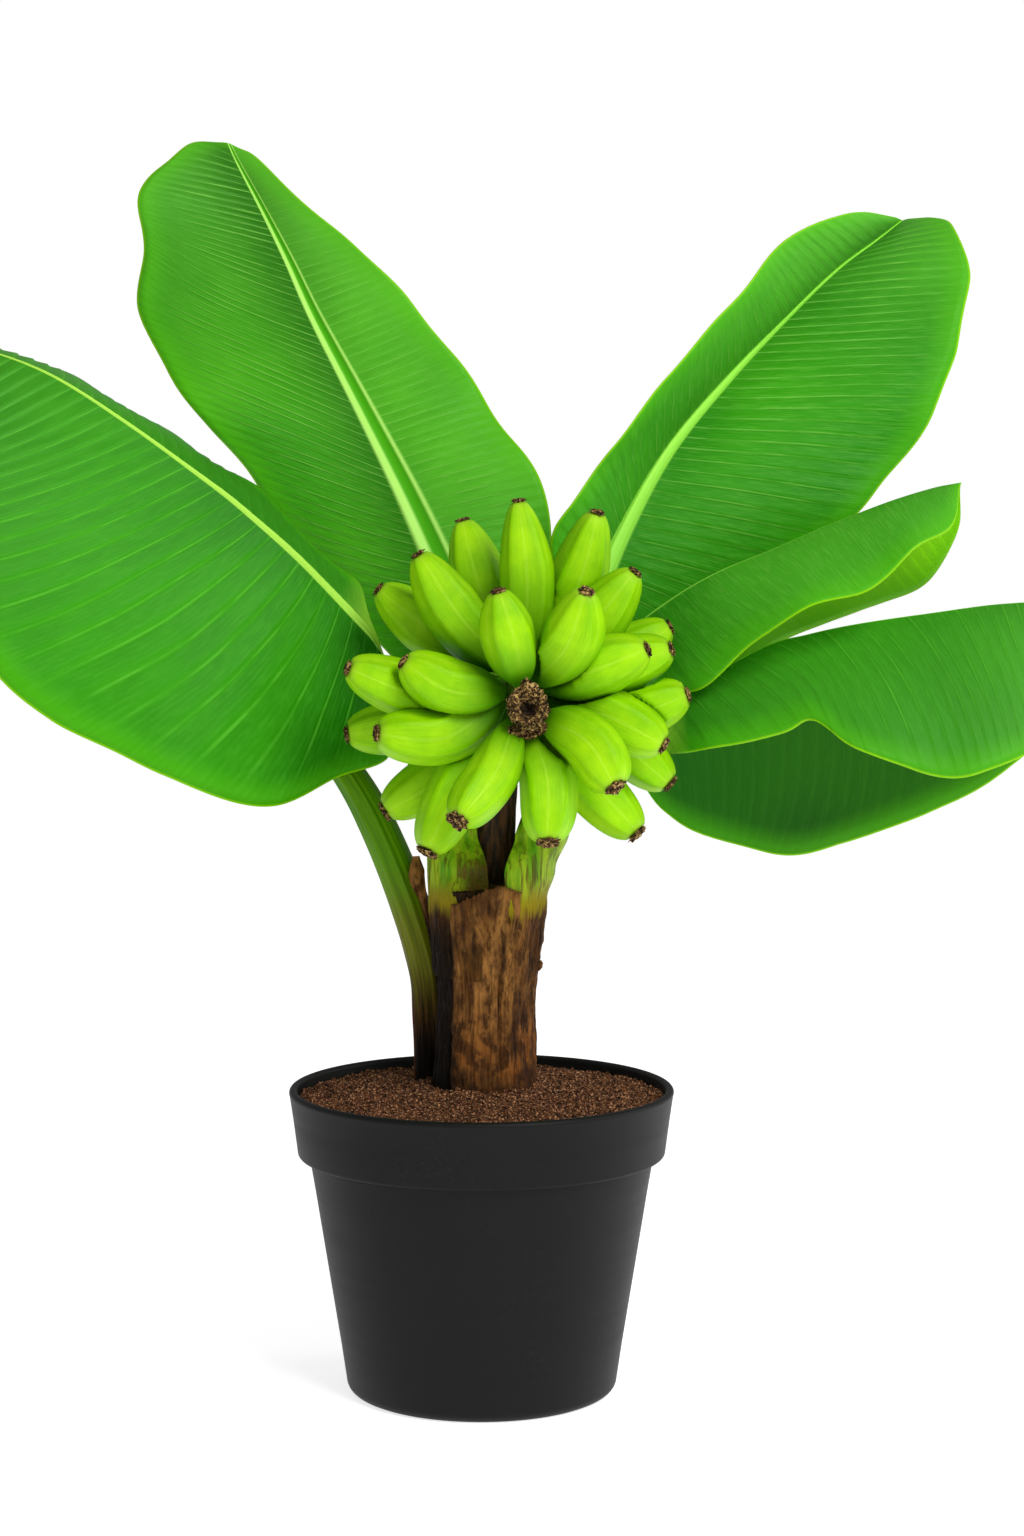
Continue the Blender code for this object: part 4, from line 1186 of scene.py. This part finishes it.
# Darker green towards the stalk: partly the stem end's own colour, partly painted shade where the
# bananas crowd together.
peel = (share.fade(0.66, 0.06) * 0.92).colour(peel, paint(58, 126, 0))
peel = (share.fade(0.93, 1.0) * 0.5).colour(peel, paint(148, 190, 50))
peel = ((share + 0.03 * (fibre - 0.5)).fade(0.975, 0.995) * 0.8).colour(peel, paint(70, 54, 20))
peel = (pore.fade(0.66, 0.74) * 0.18).colour(peel, paint(96, 150, 20))
dress(green_peel, Base_Color=peel,
      Roughness=0.42 + 0.12 * cloud,
      Normal=(fibre * 0.5 + pore * 0.5).relief(0.0006, 0.45),
      Specular_IOR_Level=0.12)


def peel_corners(number, angle, line, in_front):
    """The corners of a banana bent along its line and pressed back by the bananas in front."""
    last = len(line) - 1
    corners, middles = [], []
    twist = 0.35 * uneven(number * 1.7, 0, 4)
    swell = 0.91 if number in SLIM_BANANAS else 1.0
    upward = max(0.0, math.sin(math.radians(angle))) ** 0.5
    for vertex in banana_pattern.data.vertices:
        position = vertex.co.z * last
        index = min(int(position), last - 1)
        centre = line[index].lerp(line[index + 1], position - index)
        ahead = (line[index + 1] - line[index]).normalized()
        front = Vector((math.sin(twist), -math.cos(twist), 0))
        front = (front - ahead * front.dot(ahead)).normalized()
        side = ahead.cross(front)
        pointed = 1 + upward * (0.05 - 0.34 * ramp(vertex.co.z, 0.60, 1.0))
        corners.append(centre + (front * vertex.co.x + side * vertex.co.y) * swell * pointed)
        middles.append(centre)
    corners = np.array([tuple(corner) for corner in corners])
    middles = np.array([tuple(middle) for middle in middles])
    for other_line in in_front:
        nearest = min((a - b).length for a in line[::5] for b in other_line[::5])
        if nearest < 2 * BANANA_RADIUS:
            corners = press_back(corners, middles, other_line)
    return corners


def copy_of(pattern, name):
    """A copy of a pattern with its own mesh, skinned in peel first and dry flower second."""
    copy = bpy.data.objects.new(name, pattern.data.copy())
    bpy.context.collection.objects.link(copy)
    copy.data.materials.append(green_peel)
    copy.data.materials.append(crumbly)
    return copy


def dry_flower(number, angle, line):
    """What is left of the flower on a banana's tip, larger on the bananas that hang."""
    flower = copy_of(flower_pattern, f"flower_{number:02d}")
    ahead = (line[-1] - line[-3]).normalized()
    side = ahead.orthogonal().normalized()
    above = ahead.cross(side)
    spin = number * 2.4
    size = 0.0053 + 0.0028 * max(0.0, -math.sin(math.radians(angle)))
    for vertex in flower.data.vertices:
        x = vertex.co.x * math.cos(spin) - vertex.co.y * math.sin(spin)
        y = vertex.co.x * math.sin(spin) + vertex.co.y * math.cos(spin)
        vertex.co = line[-1] + (side * x + above * y) * size + ahead * (vertex.co.z * size - 0.0006)
    for face in flower.data.polygons:
        face.material_index = 1
    return flower


made = []
for number, banana in enumerate(BANANAS, start=1):
    line = banana_line(*banana)
    item = copy_of(banana_pattern, f"banana_{number:02d}_peel")
    item.data.vertices.foreach_set("co", peel_corners(number, banana[0], line, made).ravel())
    places = [value for share, ridge in zip(share_of, ridge_of)
              for value in (share, ridge, number * 0.37)]
    item.data.attributes.new("peel_place", "FLOAT_VECTOR", "POINT").data.foreach_set("vector", places)
    flower = dry_flower(number, banana[0], line)
    bpy.ops.object.select_all(action="DESELECT")
    flower.select_set(True)
    item.select_set(True)
    bpy.context.view_layer.objects.active = item
    bpy.ops.object.join()
    item.data.shade_smooth()
    part_of(item, "green_peel", f"banana_{number:02d}")
    made.append(line)
bpy.data.objects.remove(banana_pattern)
bpy.data.objects.remove(flower_pattern)

# ------------------------------------------------------------- The floor, light and camera
# A white studio floor that goes over into the white behind it, a broad soft light from the
# upper left in front, a weaker one from the right, and white light all round.

WHITE_LIGHT = 0.34          # strength of the light all round; what stands behind is white itself
CAMERA_PLACE = (0.0253, -2.65, 0.745)
CAMERA_DIP = 0.0844         # radians that the camera looks down
CAMERA_LENS = 75.5          # mm, over a picture 36 mm high

bpy.ops.object.select_all(action="DESELECT")
bpy.ops.mesh.primitive_plane_add(size=40, location=(0, 0, -0.0002))
floor = bpy.context.object
bpy.ops.object.transform_apply()
floor.name = "studio_floor"
floor_paint, _ = new_material("studio_floor")
dress(floor_paint, Base_Color=(0.80, 0.80, 0.80, 1.0), Roughness=0.9, Specular_IOR_Level=0.1,
      Emission_Color=(1, 1, 1, 1), Emission_Strength=0.72)
floor.data.materials.append(floor_paint)

world = bpy.data.worlds.new("studio")
world.use_nodes = True
white = world.node_tree.nodes["Background"].inputs
white["Color"].default_value = (1, 1, 1, 1)
seen = Finish(world.node_tree).node("LightPath", {}, {})
world.node_tree.links.new((WHITE_LIGHT + (1 - WHITE_LIGHT) * seen).socket, white["Strength"])
bpy.context.scene.world = world
bpy.context.scene.view_settings.view_transform = "Standard"


def softbox(name, place, aim, size, power):
    """A flat rectangular lamp at a place, turned to a point."""
    bpy.ops.object.light_add(type="AREA", location=place)
    lamp = bpy.context.object
    lamp.name = name
    lamp.data.shape = "RECTANGLE"
    lamp.data.size, lamp.data.size_y = size
    lamp.data.energy = power
    lamp.rotation_euler = (Vector(aim) - Vector(place)).to_track_quat("-Z", "Y").to_euler()


softbox("key_light", (1.4, -2.2, 2.5), (0.02, 0, 0.6), (1.4, 1.4), 80)
softbox("right_light", (2.0, 0.5, 0.9), (0.02, 0, 0.4), (0.7, 1.6), 11)

bpy.ops.object.camera_add(location=CAMERA_PLACE, rotation=(math.pi / 2 - CAMERA_DIP, 0, 0))
camera = bpy.context.object
camera.data.sensor_fit = "VERTICAL"
camera.data.sensor_height = 36
camera.data.lens = CAMERA_LENS
bpy.context.scene.camera = camera
